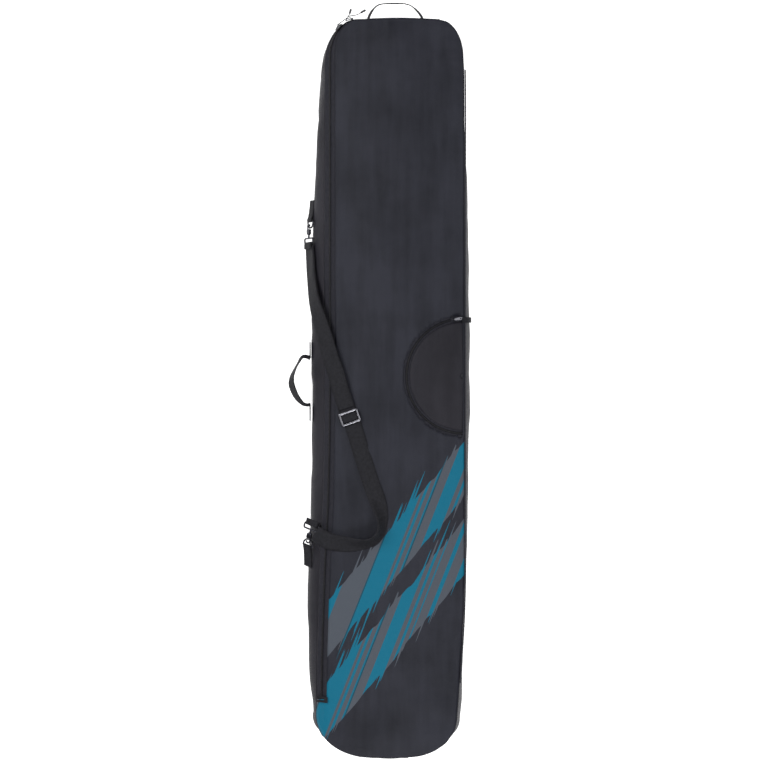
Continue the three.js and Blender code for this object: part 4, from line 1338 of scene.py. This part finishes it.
# %% Helpers for finishes
def colour(red, green, blue):
    def linear(v):
        v /= 255
        return v / 12.92 if v <= 0.04045 else ((v + 0.055) / 1.055) ** 2.4
    return (linear(red), linear(green), linear(blue), 1)


class Finish:
    def __init__(self, name, **numbers):
        self.material = bpy.data.materials.new(name)
        self.material.use_nodes = True
        self.tree = self.material.node_tree
        self.shader = self.tree.nodes["Principled BSDF"]
        for socket, value in numbers.items():
            self.shader.inputs[socket.replace("_", " ")].default_value = value

    def node(self, kind, settings=None, **inputs):
        made = self.tree.nodes.new("ShaderNode" + kind)
        for key, value in (settings or {}).items():
            setattr(made, key, value)
        for key, value in inputs.items():
            self.feed(made, key.replace("_", " "), value)
        return made

    def feed(self, node, socket, value):
        numbered = socket[0] == "n" and socket[1:].isdigit()
        socket = node.inputs[int(socket[1:]) if numbered else socket]
        if hasattr(value, "outputs"):
            value = value.outputs[0]
        if hasattr(value, "is_linked"):
            self.tree.links.new(value, socket)
        else:
            socket.default_value = value

    def maths(self, operation, a, b=0.0, c=0.0):
        return self.node("Math", {"operation": operation}, n0=a, n1=b, n2=c)

    def place(self, kind="Object"):
        return self.node("TexCoord").outputs[kind]

    def noise(self, where, scale, detail=4.0, roughness=0.55):
        made = self.node("TexNoise", Vector=where, Scale=scale, Detail=detail, Roughness=roughness)
        return made.outputs["Fac"]

    def ramp(self, value, stops, steady=False):
        made = self.node("ValToRGB", Fac=value)
        made.color_ramp.interpolation = "CONSTANT" if steady else "LINEAR"
        marks = made.color_ramp.elements
        while len(marks) < len(stops):
            marks.new(1.0)
        for mark, (at, shade) in zip(marks, stops):
            mark.position = at
            mark.color = shade if isinstance(shade, tuple) else (shade, shade, shade, 1)
        return made.outputs["Color"]

    def blend(self, amount, a, b, how="MIX"):
        made = self.node("Mix", {"data_type": "RGBA", "blend_type": how})
        self.feed(made, "n0", amount)
        self.feed(made, "n6", a)
        self.feed(made, "n7", b)
        return made.outputs[2]

    def bump(self, height, strength, distance):
        made = self.node("Bump", Height=height, Strength=strength, Distance=distance)
        self.feed(self.shader, "Normal", made)

    def paint(self, value):
        self.feed(self.shader, "Base Color", value)

    def weave(self, threads):
        across = self.node("SeparateXYZ", Vector=self.place("UV"))
        warp = self.maths("SINE", self.maths("MULTIPLY", across.outputs["X"], threads * math.pi))
        weft = self.maths("SINE", self.maths("MULTIPLY", across.outputs["Y"], threads * math.pi))
        return self.maths("MULTIPLY", warp, weft)


def wear(piece, finish):
    piece.data.materials.clear()
    piece.data.materials.append(finish.material)


print("finish helpers ready")

# %% [markdown]
# The front's cloth is printed with two slanting bands of streaks, in grey and in teal. A band is a range of
# distances along one slanting direction, and its ends are ragged, because each streak starts and stops
# where it likes. Streaks are ranges along a second, steeper direction. So the print is two sums on the UV
# map, which is the cloth's place as seen from above, and one colour ramp with hard steps.

# %% Shell cloth and its print
SHELL_DARK, SHELL_LIGHT = colour(20, 21, 28), colour(33, 34, 42)
PRINT_GREY, PRINT_TEAL, PRINT_LINE = colour(66, 71, 79), colour(0, 90, 114), colour(14, 62, 78)
BAND_ANGLE, STREAK_ANGLE = math.radians(49.6), math.radians(68.5)
BANDS = ((-427, -348), (-313, -234))
# where each streak begins, in mm from low to high, and its colour
STREAKS = [(-330, "teal"), (-323, "grey"), (-303, "teal"), (-293, "grey"), (-277, "teal"), (-272, "grey"),
           (-263, "teal"), (-257, "grey"), (-248, "teal"), (-223, "grey"), (-206, "line"), (-204, "teal"),
           (-200, "grey"), (-192, "line"), (-190, "teal"), (-186, "grey"), (-180, "teal"), (-141, "line"),
           (-139.5, "grey"), (-92, "line"), (-90, "teal")]
STREAK_LOW, STREAK_HIGH = -330.0, 420.0
RAGGED, SPIKE = 16.0, 130.0  # how far a streak's end may be off, and how far a rare one shoots out


def cloth_ground(finish, where, dark, light):
    cloudy = finish.noise(where, 7.0, 3.0)
    streaky = finish.noise(finish.node("Mapping", Vector=where, Scale=(24, 3, 3)), 2.0, 4.0)
    both = finish.maths("ADD", finish.maths("MULTIPLY", cloudy, 0.6), finish.maths("MULTIPLY", streaky, 0.4))
    return finish.ramp(both, [(0.36, dark), (0.62, light)])


def slanting(finish, xy, angle):
    x = finish.maths("MULTIPLY", xy.outputs["X"], -1000 * math.sin(angle))
    y = finish.maths("MULTIPLY", xy.outputs["Y"], 1000 * math.cos(angle))
    return finish.maths("ADD", x, y)


def print_mask(finish, t, q):
    rough = []
    for seed, way in ((3.0, -1.0), (17.0, 1.0)):
        along_q = finish.node("CombineXYZ", X=q, Y=seed)
        uneven = finish.maths("SUBTRACT", finish.noise(along_q, 0.05, 1.0), 0.5)
        rare = finish.maths("MAXIMUM", finish.maths("SUBTRACT", finish.noise(along_q, 0.2, 1.0), 0.58), 0.0)
        rough.append(finish.maths("ADD", finish.maths("MULTIPLY", uneven, RAGGED),
                                  finish.maths("MULTIPLY", rare, SPIKE * way)))
    mask = None
    for low, high in BANDS:
        above = finish.maths("GREATER_THAN", t, finish.maths("ADD", rough[0], low))
        below = finish.maths("LESS_THAN", t, finish.maths("ADD", rough[1], high))
        inside = finish.maths("MULTIPLY", above, below)
        mask = finish.maths("MAXIMUM", mask, inside) if mask else inside
    return mask


def shell_cloth(name, printed, dark=SHELL_DARK, light=SHELL_LIGHT):
    finish = Finish(name, Roughness=0.5, Specular_IOR_Level=0.14)
    where = finish.place("Object")
    ground = cloth_ground(finish, where, dark, light)
    if printed:
        xy = finish.node("SeparateXYZ", Vector=finish.place("UV"))
        t, q = slanting(finish, xy, BAND_ANGLE), slanting(finish, xy, STREAK_ANGLE)
        place = finish.maths("DIVIDE", finish.maths("SUBTRACT", q, STREAK_LOW), STREAK_HIGH - STREAK_LOW)
        shades = {"teal": PRINT_TEAL, "grey": PRINT_GREY, "line": PRINT_LINE}
        stops = [((at - STREAK_LOW) / (STREAK_HIGH - STREAK_LOW), shades[which]) for at, which in STREAKS]
        ink = finish.ramp(place, stops, steady=True)
        speckle = finish.ramp(finish.noise(finish.place("UV"), 900.0, 2.0), [(0.3, 0.82), (0.7, 1.0)])
        ground = finish.blend(print_mask(finish, t, q), ground, finish.blend(1.0, ink, speckle, "MULTIPLY"))
    finish.paint(ground)
    weave = finish.weave(1400)
    grain = finish.noise(where, 260.0, 3.0)
    finish.bump(finish.maths("ADD", weave, finish.maths("MULTIPLY", grain, 0.8)), 0.35, 0.0003)
    return finish


printed_cloth = shell_cloth("printed_shell_cloth", True)
plain_cloth = shell_cloth("plain_shell_cloth", False, colour(21, 20, 26), colour(32, 31, 37))
wear(front_cloth, printed_cloth)
for piece in (flap_cloth, side_wall, back_cloth):
    wear(piece, plain_cloth)
print("streaks in the print:", len(STREAKS))

# %% [markdown]
# Lining is thin and close-woven, and foam is a mat of bubbles. Neither shows until the front is open.

# %% Lining and foam
lining = Finish("lining_cloth", Roughness=0.62, Sheen_Weight=0.25, Sheen_Roughness=0.4,
                Specular_IOR_Level=0.35)
lining.paint(cloth_ground(lining, lining.place("Object"), colour(38, 39, 44), colour(50, 52, 58)))
lining.bump(lining.weave(1800), 0.3, 0.0002)
foam = Finish("foam", Roughness=0.95, Specular_IOR_Level=0.2)
bubbles = foam.noise(foam.place("Object"), 420.0, 5.0, 0.7)
foam.paint(foam.ramp(bubbles, [(0.3, colour(62, 64, 70)), (0.7, colour(104, 106, 112))]))
foam.bump(bubbles, 0.7, 0.0006)
for piece in (front_inner, back_inner, pouch, seam_binding):
    wear(piece, lining)
for piece in (front_foam, back_pad):
    wear(piece, foam)
print("inside finishes: 2")

# %% [markdown]
# Webbing is woven in ribs. Warp threads run its whole length in narrow rows, and each weft shows as a fine
# step across.

# %% Webbing, zip tape and coil
def ribbed(name, dark, light, ribs, wefts, strength, **numbers):
    finish = Finish(name, **numbers)
    xy = finish.node("SeparateXYZ", Vector=finish.place("UV"))
    wave = finish.maths("SINE", finish.maths("MULTIPLY", xy.outputs["X"], ribs * math.pi))
    rib = finish.maths("ABSOLUTE", wave)
    weft = finish.maths("SINE", finish.maths("MULTIPLY", xy.outputs["Y"], wefts * math.pi))
    height = finish.maths("ADD", rib, finish.maths("MULTIPLY", weft, 0.4))
    fuzz = finish.noise(finish.place("Object"), 180.0, 3.0)
    shade = finish.maths("ADD", finish.maths("MULTIPLY", height, 0.35), fuzz)
    finish.paint(finish.ramp(shade, [(0.35, dark), (0.95, light)]))
    finish.bump(height, strength, 0.0004)
    return finish


webbing = ribbed("webbing", colour(16, 16, 19), colour(31, 31, 35), 420, 900, 0.6,
                 Roughness=0.7, Specular_IOR_Level=0.12)
zip_tape = ribbed("zip_tape", colour(22, 22, 28), colour(36, 36, 42), 900, 900, 0.4,
                  Roughness=0.7, Specular_IOR_Level=0.12)
piping_cover = ribbed("piping_cover", colour(26, 26, 32), colour(44, 44, 50), 900, 700, 0.5,
                      Roughness=0.6, Specular_IOR_Level=0.15)
coil_nylon = Finish("coil_nylon", Roughness=0.45, Specular_IOR_Level=0.2)
mould = coil_nylon.noise(coil_nylon.place("Object"), 600.0, 2.0)
coil_nylon.paint(coil_nylon.ramp(mould, [(0.3, colour(12, 12, 15)), (0.7, colour(24, 24, 28))]))
coil_nylon.bump(mould, 0.2, 0.0001)
for piece in webbing_pieces:
    wear(piece, webbing)
wear(piping, piping_cover)
for piece in zip_tapes:
    wear(piece, zip_tape)
for piece in zip_coils:
    wear(piece, coil_nylon)
print("webbing pieces painted:", len(webbing_pieces))

# %% [markdown]
# The buckle and the pocket's pull are plated and bright, with the fine scratches of use. The rings, hooks,
# eyes and sliders are dark, and a little uneven.

# %% Metals
def plated(name, dark, light, roughness, scratch):
    finish = Finish(name, Metallic=1.0, Roughness=roughness)
    where = finish.place("Object")
    cloudy = finish.noise(where, 60.0, 4.0)
    finish.paint(finish.ramp(cloudy, [(0.3, dark), (0.7, light)]))
    fine = finish.noise(finish.node("Mapping", Vector=where, Scale=(1, 9, 4)), 500.0, 3.0, 0.7)
    rough = finish.ramp(fine, [(0.35, roughness * 0.8), (0.7, roughness * 1.35)])
    finish.feed(finish.shader, "Roughness", rough)
    finish.bump(fine, scratch, 0.0001)
    return finish


bright_metal = plated("bright_metal", colour(104, 104, 110), colour(136, 136, 142), 0.3, 0.15)
dark_metal = plated("dark_metal", colour(34, 34, 38), colour(56, 56, 62), 0.34, 0.3)
for piece in metal_pieces:
    wear(piece, bright_metal if piece in (buckle, pull) else dark_metal)
for piece in dark_pieces:
    wear(piece, dark_metal)
print("metal pieces: 2 bright,", len(metal_pieces) + len(dark_pieces) - 2, "dark")

# %% [markdown]
# The pull cords are braided, and their grips are moulded in soft rubber.

# %% Cord braid and rubber grip
braid = Finish("cord_braid", Roughness=0.78, Sheen_Weight=0.2, Specular_IOR_Level=0.3)
strands = braid.node("TexVoronoi", Vector=braid.place("Object"), Scale=1400.0)
braid.paint(braid.ramp(strands.outputs["Distance"], [(0.1, colour(40, 40, 45)), (0.6, colour(16, 16, 19))]))
braid.bump(strands.outputs["Distance"], 0.5, 0.0003)
rubber = Finish("soft_rubber", Roughness=0.5, Specular_IOR_Level=0.4)
skin = rubber.noise(rubber.place("Object"), 900.0, 3.0)
rubber.paint(rubber.ramp(skin, [(0.3, colour(24, 24, 27)), (0.7, colour(38, 38, 42))]))
rubber.bump(skin, 0.3, 0.0002)
for piece in cord_pieces:
    wear(piece, braid)
for piece in grip_pieces:
    wear(piece, rubber)
print("cords and grips:", len(cord_pieces) + len(grip_pieces))

# %% [markdown]
# Light is soft and even, from four large panels, with a white floor that fills the shadows from below.

# %% Floor and light
floor_mesh = bpy.data.meshes.new("floor")
bm = bmesh.new()
bmesh.ops.create_grid(bm, x_segments=1, y_segments=1, size=6)
bm.to_mesh(floor_mesh)
bm.free()
floor = bpy.data.objects.new("floor", floor_mesh)
floor.location.z = -0.5 * MM  # just under the back, so that the two don't share a plane
bpy.context.collection.objects.link(floor)
white = Finish("white_floor", Roughness=0.9, Specular_IOR_Level=0.1)
white.shader.inputs["Emission Color"].default_value = (1, 1, 1, 1)
white.shader.inputs["Emission Strength"].default_value = 0.5
paper = white.noise(white.place("Object"), 3.0, 2.0)
white.paint(white.ramp(paper, [(0.3, (0.93, 0.93, 0.93, 1)), (0.7, (0.95, 0.95, 0.95, 1))]))
wear(floor, white)
floor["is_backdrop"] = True


def panel(name, place, aim, size, power):
    light = bpy.data.lights.new(name, "AREA")
    light.shape = "RECTANGLE"
    light.size, light.size_y = size
    light.energy = power
    lamp = bpy.data.objects.new(name, light)
    lamp.location = place
    lamp.rotation_euler = (Vector(aim) - Vector(place)).to_track_quat("-Z", "Y").to_euler()
    bpy.context.collection.objects.link(lamp)


panel("left_panel", (-2.4, 1.2, 2.6), (0, 0, 0.05), (1.4, 2.2), 112)
panel("right_panel", (2.6, 0.6, 2.4), (0, 0, 0.05), (1.2, 2.2), 60)
panel("foot_panel", (0.3, -3.0, 2.6), (0, -0.2, 0.05), (1.8, 1.0), 85)
panel("over_panel", (0.15, -0.9, 5.2), (0.05, -0.2, 0.1), (0.5, 1.4), 40)
world = bpy.data.worlds.new("studio")
world.use_nodes = True
world.node_tree.nodes["Background"].inputs["Color"].default_value = (1, 1, 1, 1)
world.node_tree.nodes["Background"].inputs["Strength"].default_value = 0.31
bpy.context.scene.world = world
bpy.context.scene.view_settings.view_transform = "Standard"
print("lights: 4 panels and the sky")

# %% [markdown]
# Last, the size of the finished model is printed. It should agree with the frame's size to within a little
# slack for soft cloth.

# %% Size of the model
bpy.context.view_layer.update()
print("visual box:", [[round(v, 3) for v in corner] for corner in box_numbers()])
